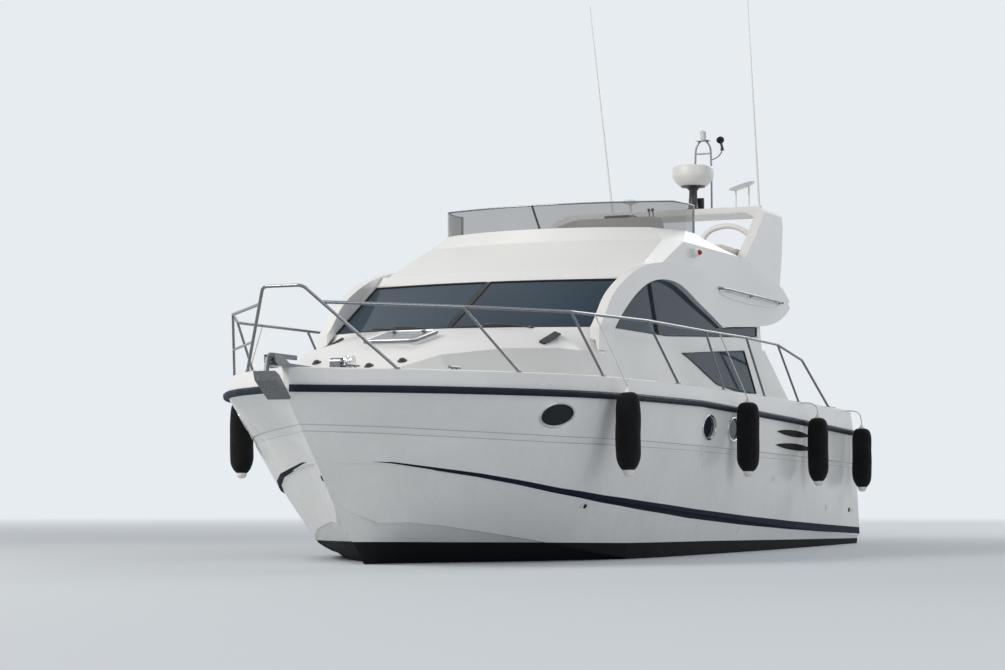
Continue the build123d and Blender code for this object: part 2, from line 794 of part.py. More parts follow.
def fly_outside(gap):
    """The flybridge before it is hollowed, grown by a gap, with its brow over the windscreen.

    Its front slopes back by more than two to one, so it grows by more there to clear by the gap.
    """
    rows = [(z - gap, *rest) for z, *rest in fly_rows]
    with BuildPart() as outside:
        add(fly_form(-gap, -4 * gap, fly_aft_x - gap, rows))
        with Locations((brow_x - gap, 0, 0)):
            Box(
                far_x, 2 * half_space, house_top_z - gap,
                align=(Align.MAX, Align.CENTER, Align.MIN), mode=Mode.SUBTRACT,
            )
    return outside.part


with BuildPart() as deckhouse:
    add(house_form(house_base_z, house_top_z, 0, 0, well_aft_x))
    inner = house_form(house_base_z - 10, house_top_z + 10, wall_thickness, screen_depth, well_aft_x - 50)
    add(inner, mode=Mode.SUBTRACT)
    add(fly_outside(seat_gap), mode=Mode.SUBTRACT)
    # Clear of the trunk ahead, and cut to the raking edge beside the cockpit
    with Locations((well_fore_x, 0, 0)):
        Box(half_space, 2 * half_space, wall_ref_z, align=from_corner, mode=Mode.SUBTRACT)
    with BuildSketch(Plane.XZ):
        with BuildLine():
            Polyline(
                (wing_x, far_x), (wing_x, wing_knee_z), (wing_x - 100, wing_knee_z),
                (wing_foot_x, house_base_z), (wing_foot_x, 0), (-far_x, 0), (-far_x, far_x), close=True,
            )
        make_face()
    extrude(amount=half_space, both=True, mode=Mode.SUBTRACT)
    for side in sides:
        with BuildSketch(Plane.YZ.offset(well_fore_x - 1200)):
            with BuildLine():
                Polyline(*screen_pane(side, 0), close=True)
            make_face()
        extrude(amount=half_space, mode=Mode.SUBTRACT)
        add(window_faces(side, 0))
        extrude(amount=2 * wall_thickness, dir=wall_inward(side), both=True, mode=Mode.SUBTRACT)
write(deckhouse.part, "deckhouse")

with BuildPart() as windscreen_glass:
    for side in sides:
        with BuildSketch(Plane.YZ.offset(well_fore_x - 1200)):
            with BuildLine():
                Polyline(*screen_pane(side, seat_gap), close=True)
            make_face()
        extrude(amount=half_space)
    add(house_form(house_base_z, house_top_z, 0, glass_inset, well_aft_x), mode=Mode.INTERSECT)
    add(house_form(house_base_z, house_top_z, 0, glass_inset + glass_depth, well_aft_x), mode=Mode.SUBTRACT)
write(windscreen_glass.part, "windscreen_glass")

for side, name in side_names:
    with BuildPart() as side_glass:
        add(window_faces(side, seat_gap))
        extrude(amount=glass_thickness, dir=wall_inward(side))
    write(side_glass.part, f"side_glass_{name}")

    with BuildPart() as side_arch:
        with BuildSketch(Plane.XZ.offset(-side * arch_face_y)):
            with BuildLine():
                Spline(*arch_outer)
                Polyline(arch_outer[-1], *arch_tail)
                Spline(*wing_low)
                Spline(*arch_inner)
                Polyline(arch_inner[-1], *arch_feet, arch_outer[0])
            make_face()
        extrude(amount=side * arch_depth)
        add(house_form(house_base_z, house_top_z + 10, -seat_gap, -seat_gap, well_aft_x), mode=Mode.SUBTRACT)
        add(trunk_form(seat_gap), mode=Mode.SUBTRACT)
        add(fly_outside(seat_gap), mode=Mode.SUBTRACT)
    write(side_arch.part, f"side_arch_{name}")

# Bulkhead between the saloon and the cockpit, with a sliding door and a window
with BuildPart() as aft_bulkhead:
    with BuildSketch(Plane.YZ.offset(bulkhead_x - bulkhead_thickness)):
        with BuildLine():
            Polyline(
                (-well_half, saloon_sole_z), (-well_half, house_base_z),
                (-wall_half(house_base_z) + wall_thickness, house_base_z),
                (-wall_half(house_top_z) + wall_thickness, house_top_z),
                (wall_half(house_top_z) - wall_thickness, house_top_z),
                (wall_half(house_base_z) - wall_thickness, house_base_z),
                (well_half, house_base_z), (well_half, saloon_sole_z), close=True,
            )
        make_face()
        with Locations((door_y, door_low_z)):
            Rectangle(
                door_opening, door_high_z - door_low_z, align=(Align.CENTER, Align.MIN), mode=Mode.SUBTRACT,
            )
        with Locations((aft_glass_y, aft_glass_z)):
            Rectangle(aft_glass_width, aft_glass_height, mode=Mode.SUBTRACT)
    extrude(amount=bulkhead_thickness)
    # Sill and header that guide the sliding door
    with Locations((track_x, door_track_y, cockpit_sole_z), (track_x, door_track_y, door_top_z + seat_gap)):
        Box(track_depth, door_track_length, track_height, align=(Align.MIN, Align.CENTER, Align.MIN))
write(aft_bulkhead.part, "aft_bulkhead")

with BuildPart() as aft_glass:
    with Locations((bulkhead_x - bulkhead_thickness / 2, aft_glass_y, aft_glass_z)):
        Box(glass_thickness, aft_glass_width - 2 * seat_gap, aft_glass_height - 2 * seat_gap)
write(aft_glass.part, "aft_glass")

with BuildPart() as saloon_door:
    with Locations((door_x, door_y, (door_bottom_z + door_top_z) / 2)):
        Box(door_thickness, door_width, door_top_z - door_bottom_z)
        Box(
            2 * door_thickness, door_width - 2 * door_frame, door_top_z - door_bottom_z - 2 * door_frame,
            mode=Mode.SUBTRACT,
        )
    handle_x = door_x - (door_thickness + door_handle_depth) / 2
    handle_y = door_y - (door_width - door_frame) / 2
    with Locations((handle_x, handle_y, cockpit_sole_z + door_handle_z)):
        Box(door_handle_depth, door_handle_width, door_handle_length)
write(saloon_door.part, "saloon_door")

with BuildPart() as saloon_door_glass:
    with Locations((door_x, door_y, (door_bottom_z + door_top_z) / 2)):
        Box(
            glass_thickness, door_width - 2 * (door_frame + seat_gap),
            door_top_z - door_bottom_z - 2 * (door_frame + seat_gap),
        )
write(saloon_door_glass.part, "saloon_door_glass")

with BuildPart() as saloon_sole:
    with Locations((bulkhead_x - bulkhead_thickness, 0, well_floor_z)):
        Box(
            well_fore_x - bulkhead_x + bulkhead_thickness, 2 * well_half, saloon_sole_thickness,
            align=from_corner,
        )
write(saloon_sole.part, "saloon_sole")

with BuildPart() as cockpit_sole:
    with Locations((well_aft_x, 0, well_floor_z)):
        Box(
            bulkhead_x - bulkhead_thickness - well_aft_x, 2 * well_half, cockpit_sole_thickness,
            align=from_corner,
        )
    with Locations((engine_hatch_x, 0, well_floor_z)):
        Box(engine_hatch_size, engine_hatch_size, 200, align=from_corner, mode=Mode.SUBTRACT)
write(cockpit_sole.part, "cockpit_sole")

# A lid that lies on the sole over its opening, hinged at its forward edge
with BuildPart() as engine_hatch:
    with Locations((engine_hatch_x - lid_lap, 0, cockpit_sole_z + seat_gap)):
        lid_size = engine_hatch_size + 2 * lid_lap
        Box(lid_size, lid_size, lid_thickness, align=from_corner)
    fillet(engine_hatch.edges().filter_by(Axis.Z), lid_corner)
write(engine_hatch.part, "engine_hatch")


with BuildPart() as flybridge:
    add(fly_outside(0))
    with BuildSketch(Plane.XY.offset(fly_floor_z)):
        with BuildLine():
            Polyline(
                (fly_well_aft_x, fly_well_half), (fly_well_cut_x, fly_well_half),
                (fly_well_fore_x, fly_well_cut_half), (fly_well_fore_x, -fly_well_cut_half),
                (fly_well_cut_x, -fly_well_half), (fly_well_aft_x, -fly_well_half), close=True,
            )
        make_face()
    extrude(amount=half_space, mode=Mode.SUBTRACT)
    with Locations((stair_x, stair_y, 0)):
        Box(stair_size, stair_size, far_x, mode=Mode.SUBTRACT)
    with BuildSketch(Plane.XZ):
        with BuildLine():
            Polyline(
                *coaming_line, (-far_x, coaming_line[-1][1]), (-far_x, 0), (coaming_line[0][0], 0),
                close=True,
            )
        make_face()
    extrude(amount=half_space, both=True, mode=Mode.INTERSECT)
write(flybridge.part, "flybridge")

with BuildPart() as flybridge_hatch:
    with Locations((stair_x, stair_y, fly_floor_z + seat_gap)):
        Box(stair_size + 2 * lid_lap, stair_size + 2 * lid_lap, lid_thickness, align=centred_low)
    fillet(flybridge_hatch.edges().filter_by(Axis.Z), lid_corner)
write(flybridge_hatch.part, "flybridge_hatch")


def wheel_bore(centre):
    """Space for a wheel's stub shaft, to be cut from its console."""
    with BuildPart() as bore:
        ahead = (cos(radians(wheel_tilt)), 0, -sin(radians(wheel_tilt)))
        with BuildSketch(Plane(origin=centre, x_dir=(0, 1, 0), z_dir=ahead)):
            Circle(wheel_shaft_radius + running_gap)
        extrude(amount=wheel_shaft + end_gap)
    return bore.part


with BuildPart() as flybridge_console:
    with BuildSketch(Plane.XZ.offset(-console_y - console_width / 2)):
        with BuildLine():
            Polyline(*console_outline, close=True)
        make_face()
    extrude(amount=console_width)
    add(wheel_bore(fly_wheel_centre), mode=Mode.SUBTRACT)
write(flybridge_console.part, "flybridge_console")


def steering_wheel(centre, aft_tilt, rim_radius, name):
    """Rim, spokes and hub, facing aft and tilted back from upright, with a stub shaft forward."""
    face = Plane(origin=centre, x_dir=(0, 1, 0), z_dir=(-cos(radians(aft_tilt)), 0, sin(radians(aft_tilt))))
    with BuildPart() as wheel:
        with BuildSketch(Plane(origin=centre, x_dir=face.z_dir, z_dir=(0, 1, 0))):
            with Locations((0, rim_radius)):
                Circle(wheel_rim_thickness)
        revolve(axis=Axis(centre, tuple(face.z_dir)))
        with BuildSketch(face.offset(-6)):
            for angle in (90, 210, 330):
                with Locations((rim_radius / 2 * cos(radians(angle)), rim_radius / 2 * sin(radians(angle)))):
                    Rectangle(rim_radius, 30, rotation=angle)
            Circle(42)
        extrude(amount=12)
        with BuildSketch(face.offset(-wheel_shaft)):
            Circle(wheel_shaft_radius)
        extrude(amount=wheel_shaft)
    write(wheel.part, name)


steering_wheel(fly_wheel_centre, wheel_tilt, fly_wheel_radius, "flybridge_wheel")
steering_wheel(saloon_wheel_centre, wheel_tilt, saloon_wheel_radius, "saloon_wheel")

# Seats and sunpads of the flybridge, with a cushion on each
with BuildPart() as flybridge_seats:
    for x, y, length, breadth, height in fly_seat_rows:
        with Locations((x, y, fly_floor_z)):
            Box(length, breadth, height, align=centred_low)
write(flybridge_seats.part, "flybridge_seats")

with BuildPart() as flybridge_cushions:
    for x, y, length, breadth, height in fly_seat_rows:
        with Locations((x, y, fly_floor_z + height + seat_gap)):
            Box(length - 20, breadth - 20, cushion_thickness, align=centred_low)
write(flybridge_cushions.part, "flybridge_cushions")

# Wind deflector round the front of the flybridge
with BuildPart() as wind_deflector:
    add(fly_form(0, 0, deflector_aft_x, deflector_rows))
    inner_rows = [(z + step, *rest) for (z, *rest), step in zip(deflector_rows, (-1, 1))]
    add(fly_form(glass_thickness, glass_thickness * 2, deflector_aft_x - 50, inner_rows), mode=Mode.SUBTRACT)
write(wind_deflector.part, "wind_deflector")

# Radar arch: the side view cut through the ring that is seen from ahead
with BuildPart() as radar_arch:
    with BuildSketch(Plane.XZ):
        with BuildLine():
            Polyline(*arch_side, close=True)
        make_face()
    extrude(amount=half_space, both=True)
    with BuildSketch(Plane.YZ.offset(-half_space * 2)):
        with BuildLine():
            Polyline(*arch_ring_outer, *[(-y, z) for y, z in reversed(arch_ring_outer)], close=True)
        make_face()
        with BuildLine():
            Polyline(*arch_ring_inner, *[(-y, z) for y, z in reversed(arch_ring_inner)], close=True)
        make_face(mode=Mode.SUBTRACT)
    extrude(amount=half_space * 2, mode=Mode.INTERSECT)
write(radar_arch.part, "radar_arch")

# Gear on the arch
with BuildPart() as radome:
    with Locations((radome_x, radome_y, radome_z)):
        Cylinder(radome_radius, radome_height, align=centred_low)
    fillet(radome.edges().group_by(Axis.Z)[-1], 110)
    fillet(radome.edges().group_by(Axis.Z)[0], 45)
write(radome.part, "radome")

with BuildPart() as nav_mast:
    with Locations((mast_x, mast_y, arch_top_z)):
        Cylinder(60, 12, align=centred_low)
        Cone(28, 18, mast_height, align=centred_low)
    with Locations((mast_x, mast_y, arch_top_z + mast_height)):
        Cylinder(45, 110, align=centred_low)
    with Locations((mast_x, mast_y + 60, arch_top_z + mast_height * 0.6)):
        Box(30, 220, 24)
    # Bracket under the radome
    with Locations((radome_x, radome_y, arch_top_z)):
        Cylinder(110, 12, align=centred_low)
        Cone(70, 50, radome_z - arch_top_z - seat_gap, align=centred_low)
write(nav_mast.part, "nav_mast")

with BuildPart() as satellite_dish:
    with Locations((-3600, 970, arch_top_z)):
        Cylinder(50, 10, align=centred_low)
        Cylinder(16, 290, align=centred_low)
    with Locations(Location((-3600, 970, arch_top_z + 290), (8, -6, 0))):
        Cylinder(170, 50)
    fillet(satellite_dish.edges().filter_by(GeomType.CIRCLE).filter_by(lambda e: e.radius > 160), 20)
write(satellite_dish.part, "satellite_dish")

with BuildPart() as gps_antenna:
    with Locations((-3600, -520, arch_top_z)):
        Cylinder(14, 160, align=centred_low)
    with Locations((-3600, -520, arch_top_z + 150)):
        Cone(50, 30, 60, align=centred_low)
write(gps_antenna.part, "gps_antenna")

# Whip antennas: foot y, top y, top z
with BuildPart() as whip_antennas:
    for foot_y, head_y, head_z in whip_rows:
        with Locations((whip_x, foot_y, arch_top_z)):
            Cylinder(30, 40, align=centred_low)
        run = Vector(0, head_y - foot_y, head_z - arch_top_z)
        with Locations(Plane(origin=(whip_x, foot_y, arch_top_z), x_dir=(1, 0, 0), z_dir=run)):
            Cone(14, 5, run.length, align=centred_low)
        with Locations((whip_x, foot_y, arch_top_z - 60)):
            Box(200, 200, 60, align=centred_low, mode=Mode.SUBTRACT)
write(whip_antennas.part, "whip_antennas")


def tube(points, radius, bend):
    """Round bar along straight runs with bends between them."""
    with BuildPart() as bar:
        with BuildLine() as route:
            if len(points) > 2:
                FilletPolyline(*points, radius=bend)
            else:
                Line(*points)
        with BuildSketch(Plane(origin=route.line @ 0, z_dir=route.line % 0)):
            Circle(radius)
        sweep()
    return bar.part


def toe_foot(x, side):
    """Point on the crest of the toe rail."""
    share = min(1.0, sheer_half(x) / nose_half)
    return Vector(x, side * (sheer_half(x) - share * toe_inset), toe_z(x) + seat_gap)


def between(start, end, share):
    return start + (end - start) * share


def on_rail(points, x):
    """Point on a rail's straight runs at a given x."""
    for start, end in zip(points, points[1:]):
        if end.X <= x <= start.X:
            return between(start, end, (start.X - x) / (start.X - end.X))


def foot_plates(points):
    with BuildPart() as plates:
        with Locations(*[tuple(point) for point in points]):
            Cylinder(foot_radius, foot_height, align=centred_low)
    return plates.part


pulpit_feet = [toe_foot(pulpit_foot_x, side) for side in sides]
pulpit_heads = [Vector(pulpit_head[0], side * pulpit_head[1], pulpit_head[2]) for side in sides]
pulpit_path = [pulpit_feet[0], pulpit_heads[0], pulpit_heads[1], pulpit_feet[1]]

with BuildPart() as pulpit:
    add(tube(pulpit_path, rail_radius, pulpit_bend))
    add(foot_plates(pulpit_feet))
    for foot in pulpit_feet:
        with Locations(tuple(foot)):
            Box(100, 100, 60, align=(Align.CENTER, Align.CENTER, Align.MAX), mode=Mode.SUBTRACT)
write(pulpit.part, "pulpit")

for side, name in side_names:
    foot, head = pulpit_feet[0 if side > 0 else 1], pulpit_heads[0 if side > 0 else 1]
    runs = [between(foot, head, pulpit_join)] + [Vector(x, side * y, z) for x, y, z in rail_points]
    runs.append(toe_foot(rail_end_x, side))
    with BuildPart() as guard_rail:
        add(tube(runs, rail_radius, rail_bend))
        add(foot_plates([runs[-1]] + [toe_foot(row[0], side) for row in stanchion_rows]))
        for foot_x, top_x in stanchion_rows:
            add(tube([toe_foot(foot_x, side), on_rail(runs, top_x)], rail_radius * 0.85, None))
        if side < 0:
            post_foot = toe_foot(stanchion_rows[0][0], side)
            post = between(post_foot, on_rail(runs, stanchion_rows[0][1]), mid_rail_join)
            add(tube([between(foot, head, mid_rail_join * pulpit_join), post], rail_radius * 0.8, None))
        for x in [rail_end_x] + [row[0] for row in stanchion_rows]:
            with Locations(tuple(toe_foot(x, side))):
                Box(200, 100, 60, align=(Align.CENTER, Align.CENTER, Align.MAX), mode=Mode.SUBTRACT)
        add(tube(pulpit_path, rail_radius + seat_gap, pulpit_bend), mode=Mode.SUBTRACT)
    write(guard_rail.part, f"guard_rail_{name}")

# Bow roller, anchor and windlass
with BuildPart() as bow_roller:
    with BuildSketch(Plane.XZ.offset(-roller_half)):
        with BuildLine():
            Polyline(
                (roller_x - 590, roller_channel_z), (roller_x, roller_channel_z),
                (roller_x + 45, roller_z - 10), (roller_x + 45, roller_z + 60),
                (roller_x - 60, roller_z + 60), (roller_x - 200, roller_channel_z + 30),
                (roller_x - 590, roller_channel_z + 20), close=True,
            )
        make_face()
    extrude(amount=2 * roller_half)
    with Locations((roller_x - 600, 0, roller_channel_z + 8)):
        Box(700, 2 * roller_half - 16, 200, align=from_corner, mode=Mode.SUBTRACT)
    with Locations((roller_x + 5, 0, roller_channel_z)):
        Box(200, 2 * roller_half - 16, 60, align=from_corner, mode=Mode.SUBTRACT)
    with Locations(Location((roller_x, 0, roller_z), (90, 0, 0))):
        Cylinder(roller_radius, 2 * roller_half - 16)
write(bow_roller.part, "bow_roller")

with BuildPart() as anchor:
    with BuildSketch(Plane.XZ):
        with BuildLine():
            Polyline(
                (roller_x - 420, shank_z), (roller_x + 16, shank_z), (roller_x + 68, shank_z - 40),
                (roller_x + 85, shank_z - 150), (roller_x + 140, shank_z - 140), (roller_x + 110, shank_z),
                (roller_x + 40, shank_z + 45), (roller_x - 420, shank_z + 40), close=True,
            )
        make_face()
    extrude(amount=12, both=True)
    with BuildSketch(Plane.XZ):
        with BuildLine():
            Polyline(
                (roller_x + 150, shank_z - 120), (roller_x + 120, shank_z - 200),
                (roller_x - 110, shank_z - 360),
                (roller_x - 135, shank_z - 345), (roller_x + 75, shank_z - 150), close=True,
            )
        make_face()
    extrude(amount=110, both=True)
write(anchor.part, "anchor")

windlass_floor = deck_seat(windlass_x, 0, 200, 180)
windlass_axis_z = windlass_floor + windlass_axis_height
with BuildPart() as windlass:
    with Locations((windlass_x, -25, windlass_floor)):
        Box(200, 180, 10, align=centred_low)
        Box(150, 110, 120, align=centred_low)
    fillet(windlass.edges().filter_by(Axis.Y).group_by(Axis.Z)[-1], 40)
    with Locations(Location((windlass_x, 0, windlass_axis_z), (90, 0, 0))):
        Cylinder(drum_pin_radius + running_gap, 200, mode=Mode.SUBTRACT)
write(windlass.part, "windlass")

with BuildPart() as windlass_drum:
    with BuildSketch(Plane.YZ.offset(windlass_x)):
        with BuildLine():
            Polyline(
                (drum_y - drum_length / 2, windlass_axis_z),
                (drum_y - drum_length / 2, windlass_axis_z + drum_radius),
                (drum_y - drum_length / 2 + 12, windlass_axis_z + drum_radius),
            )
            ThreePointArc(
                (drum_y - drum_length / 2 + 12, windlass_axis_z + drum_radius),
                (drum_y, windlass_axis_z + drum_radius * 0.6),
                (drum_y + drum_length / 2 - 8, windlass_axis_z + drum_radius * 0.9),
            )
            Polyline(
                (drum_y + drum_length / 2 - 8, windlass_axis_z + drum_radius * 0.9),
                (drum_y + drum_length / 2, windlass_axis_z + drum_radius * 0.9),
                (drum_y + drum_length / 2, windlass_axis_z), (drum_y - drum_length / 2, windlass_axis_z),
            )
        make_face()
    revolve(axis=Axis((windlass_x, 0, windlass_axis_z), (0, 1, 0)))
    with Locations(Location((windlass_x, drum_y - drum_length / 2 - 30, windlass_axis_z), (90, 0, 0))):
        Cylinder(drum_pin_radius, 90)
write(windlass_drum.part, "windlass_drum")

with BuildPart() as cleats:
    for x, y in cleat_rows:
        for side in sides:
            with Locations((x, side * y, deck_seat(x, y, cleat_base, cleat_width))):
                Box(cleat_base, cleat_width, 8, align=centred_low)
                for step in (-45, 45):
                    with Locations((step, 0, 0)):
                        Cylinder(14, 55, align=centred_low)
                with Locations(Location((0, 0, 55), (0, 90, 0))):
                    Cylinder(13, cleat_length)
write(cleats.part, "cleats")

with BuildPart() as foredeck_hatch:
    with BuildSketch(hatch_plane.offset(hatch_frame_height + seat_gap)):
        Rectangle(hatch_size + 20, hatch_size + 20)
        fillet(vertices(), hatch_corner + 10)
    extrude(amount=22)
write(foredeck_hatch.part, "foredeck_hatch")

with BuildPart() as anchor_locker_lid:
    with Locations((locker_x, 0, locker_floor_z + seat_gap)):
        Box(locker_length - 2 * door_gap, locker_width - 2 * door_gap, 26, align=centred_low)
    fillet(anchor_locker_lid.edges().filter_by(Axis.Z), 12)
write(anchor_locker_lid.part, "anchor_locker_lid")

with BuildPart() as transom_gate:
    with Locations((gate_pivot_x + gate_pivot_inset, gate_pivot_y - gate_pivot_inset, cockpit_sole_z + 12)):
        Box(gate_thickness, gate_leaf, gate_height, align=(Align.MAX, Align.MIN, Align.MIN))
    fillet(transom_gate.edges().filter_by(Axis.X).group_by(Axis.Z)[-1], 80)
    with Locations((gate_pivot_x, gate_pivot_y, cockpit_sole_z - gate_pin_depth)):
        Cylinder(gate_pin_radius, gate_pin_depth + 100, align=centred_low)
write(transom_gate.part, "transom_gate")

# Bathing platform on the transom, with brackets for the ladder's pin
with BuildPart() as bathing_platform:
    with BuildSketch(Plane.XZ):
        with BuildLine():
            low_z = platform_top_z - platform_thickness
            Polyline(
                (transom_at(platform_top_z) - seat_gap, platform_top_z),
                (transom_at(low_z) - seat_gap, low_z),
                (platform_aft_x, low_z), (platform_aft_x, platform_top_z), close=True,
            )
        make_face()
    extrude(amount=platform_half, both=True)
    fillet(bathing_platform.edges().filter_by(Axis.Z).group_by(Axis.X)[0], platform_corner)
    for side in sides:
        bracket_y = bath_ladder_y + side * (bath_ladder_half + 34)
        with Locations((bath_pivot_x, bracket_y, platform_top_z + bath_pivot_rise)):
            Box(80, 20, 60, align=(Align.CENTER, Align.CENTER, Align.CENTER))
    with Locations(Location((bath_pivot_x, bath_ladder_y, platform_top_z + bath_pivot_rise), (90, 0, 0))):
        Cylinder(bath_pin_radius + running_gap, 2 * bath_ladder_half + 200, mode=Mode.SUBTRACT)
write(bathing_platform.part, "bathing_platform")

with BuildPart() as bathing_ladder:
    for side in sides:
        rail_y = bath_ladder_y + side * bath_ladder_half
        add(tube(
            [(bath_pivot_x, rail_y, platform_top_z + bath_pivot_rise),
             (bath_pivot_x + bath_ladder_length, rail_y, platform_top_z + bath_pivot_rise)],
            bath_tube_radius, None,
        ))
    for step in range(3):
        rung = (bath_pivot_x + 130 + 180 * step, bath_ladder_y, platform_top_z + bath_pivot_rise)
        with Locations(Location(rung, (90, 0, 0))):
            Cylinder(bath_tube_radius * 0.9, 2 * bath_ladder_half)
    with Locations(Location((bath_pivot_x, bath_ladder_y, platform_top_z + bath_pivot_rise), (90, 0, 0))):
        Cylinder(bath_pin_radius, 2 * bath_ladder_half + 86)
write(bathing_ladder.part, "bathing_ladder")

# Running gear
for side, name in side_names:
    centre = Vector(propeller_x, side * shaft_y, propeller_z)
    across = shaft_dir.cross(Vector(0, 1, 0))
    with BuildPart() as propeller:
        for blade in range(blade_count):
            angle = radians(360 / blade_count * blade + 45)
            out = Vector(0, 1, 0) * cos(angle) + across * sin(angle)
            for radius, chord, thickness in blade_rows:
                turn = side * (pi / 2 - atan2(blade_pitch, 2 * pi * radius))
                tip = Vector(cos(turn), sin(turn)) * chord / 2
                crest = Vector(-sin(turn), cos(turn)) * thickness / 2
                with BuildSketch(Plane(origin=centre + out * radius, x_dir=shaft_dir, z_dir=out)):
                    with BuildLine():
                        ThreePointArc(tip, crest, -tip)
                        ThreePointArc(-tip, -crest, tip)
                    make_face()
            loft()
        with BuildSketch(shaft_plane(side, -propeller_hub_length / 2)):
            Circle(propeller_hub_radius)
        extrude(amount=propeller_hub_length)
        with BuildSketch(shaft_plane(side, -propeller_hub_length / 2 - 60)):
            Circle(30)
        with BuildSketch(shaft_plane(side, -propeller_hub_length / 2)):
            Circle(propeller_hub_radius)
        loft()
        with BuildSketch(shaft_plane(side, 0)):
            Circle(shaft_radius)
        extrude(amount=shaft_length)
    write(propeller.part, f"propeller_{name}")

with BuildPart() as shaft_brackets:
    for side in sides:
        with BuildSketch(Plane.XZ.offset(-side * shaft_y)):
            with BuildLine():
                Polyline(
                    (strut_x - 60, strut_z), (strut_x + 50, strut_z), (strut_x + 100, strut_top_z),
                    (strut_x - 40, strut_top_z), close=True,
                )
            make_face()
        extrude(amount=9, both=True)
        with BuildSketch(shaft_plane(side, strut_along - 70)):
            Circle(42)
        extrude(amount=140)
        with BuildSketch(shaft_plane(side, 0)):
            Circle(shaft_radius + running_gap)
        extrude(amount=shaft_length, mode=Mode.SUBTRACT)
    add(hull.part.moved(Location((0, 0, -seat_gap))), mode=Mode.SUBTRACT)
write(shaft_brackets.part, "shaft_brackets")

for side, name in side_names:
    with BuildPart() as rudder:
        for z, chord in ((rudder_bottom_z, rudder_chord * 0.75), (rudder_top_z, rudder_chord)):
            with BuildSketch(Plane.XY.offset(z)):
                with BuildLine():
                    front = (rudder_x + chord * 0.27, side * shaft_y)
                    back = (rudder_x - chord * 0.73, side * shaft_y)
                    ThreePointArc(front, (rudder_x, side * shaft_y + rudder_thickness / 2), back)
                    ThreePointArc(back, (rudder_x, side * shaft_y - rudder_thickness / 2), front)
                make_face()
        loft()
        with Locations((rudder_x, side * shaft_y, rudder_top_z - 60)):
            Cylinder(rudder_stock_radius, rudder_stock_length + 60, align=centred_low)
    write(rudder.part, f"rudder_{name}")

keel_end = Vector(transom_at(hull_rows[0][2]), 0, hull_rows[0][2])
chine_end = Vector(transom_at(hull_rows[0][4]), hull_rows[0][3], hull_rows[0][4])
tab_along = (chine_end - keel_end).normalized()
transom_out = Vector(-cos(radians(hull_rows[0][1])), 0, sin(radians(hull_rows[0][1])))
tab_pivot = between(keel_end, chine_end, tab_y / chine_end.Y) + transom_out * (tab_barrel + seat_gap)
tab_pivot += tab_along.cross(transom_out).normalized() * tab_barrel
tab_aft = Vector(-1, 0, 0) - tab_along * Vector(-1, 0, 0).dot(tab_along)
tab_plane = Plane(origin=tab_pivot, x_dir=tab_along, z_dir=tab_along.cross(tab_aft))

with BuildPart() as trim_tab_port:
    with BuildSketch(tab_plane):
        Rectangle(tab_length, tab_chord, align=(Align.CENTER, Align.MIN))
        fillet(vertices().group_by(Axis.X)[0], 40)
    extrude(amount=tab_thickness / 2, both=True)
    tab_end = tab_pivot - tab_along * tab_length / 2
    with BuildSketch(Plane(origin=tab_end, x_dir=tab_plane.z_dir, z_dir=tab_along)):
        Circle(tab_barrel)
    extrude(amount=tab_length)
write(trim_tab_port.part, "trim_tab_port")

with BuildPart() as trim_tab_starboard:
    mirror(trim_tab_port.part, about=Plane.XZ)
write(trim_tab_starboard.part, "trim_tab_starboard")

# Engines, as plain blocks of their real size
with BuildPart() as engines:
    for side in sides:
        with Locations((engine_aft_x, side * shaft_y, bay_floor_z)):
            Box(engine_length, engine_width, engine_height, align=from_corner)
write(engines.part, "engines")

# Seats and steps
with BuildPart() as cockpit_bench:
    with BuildSketch(Plane.XZ.offset(-bench_end_y)):
        with BuildLine():
            Polyline(
                (well_aft_x + seat_gap, cockpit_sole_z), (-4380, cockpit_sole_z), (-4400, bench_top_z),
                (well_aft_x + seat_gap, bench_top_z), close=True,
            )
        make_face()
    extrude(amount=bench_end_y - bench_start_y)
write(cockpit_bench.part, "cockpit_bench")

with BuildPart() as cockpit_cushion:
    with Locations((well_aft_x + 10, (bench_start_y + bench_end_y) / 2, bench_top_z + seat_gap)):
        Box(440, bench_end_y - bench_start_y - 20, cushion_thickness, align=from_corner)
    bench_y = (bench_start_y + bench_end_y) / 2
    with Locations((well_aft_x + 10, bench_y, bench_top_z + cushion_thickness + 2 * seat_gap)):
        Box(90, bench_end_y - bench_start_y - 20, 230, align=from_corner)
write(cockpit_cushion.part, "cockpit_cushion")

with BuildPart() as flybridge_ladder:
    for side in sides:
        with BuildSketch(Plane.XZ.offset(-stair_y - side * stair_rail_half)):
            with BuildLine():
                Polyline(
                    (stair_foot_x, cockpit_sole_z), (stair_foot_x + 110, cockpit_sole_z),
                    (stair_head_x, house_top_z), (stair_head_x - 110, house_top_z), close=True,
                )
            make_face()
        extrude(amount=12, both=True)
    for step in range(1, stair_steps + 1):
        share = step / (stair_steps + 1)
        with Locations((
            stair_foot_x + 55 + share * (stair_head_x - stair_foot_x - 110), stair_y,
            cockpit_sole_z + share * (house_top_z - cockpit_sole_z),
        )):
            Box(150, 2 * stair_rail_half, 30)
write(flybridge_ladder.part, "flybridge_ladder")

with BuildPart() as helm_console:
    with BuildSketch(Plane.XZ.offset(-helm_y - helm_width / 2)):
        with BuildLine():
            Polyline(*helm_outline, close=True)
        make_face()
    extrude(amount=helm_width)
    with BuildSketch(Plane.XZ.offset(-dash_end_y)):
        with BuildLine():
            Polyline(
                (well_fore_x - seat_gap, 2190), (1930, 2190), (1900, 2240), (well_fore_x - seat_gap, 2280),
                close=True,
            )
        make_face()
    extrude(amount=dash_end_y - helm_y)
    add(wheel_bore(saloon_wheel_centre), mode=Mode.SUBTRACT)
write(helm_console.part, "helm_console")

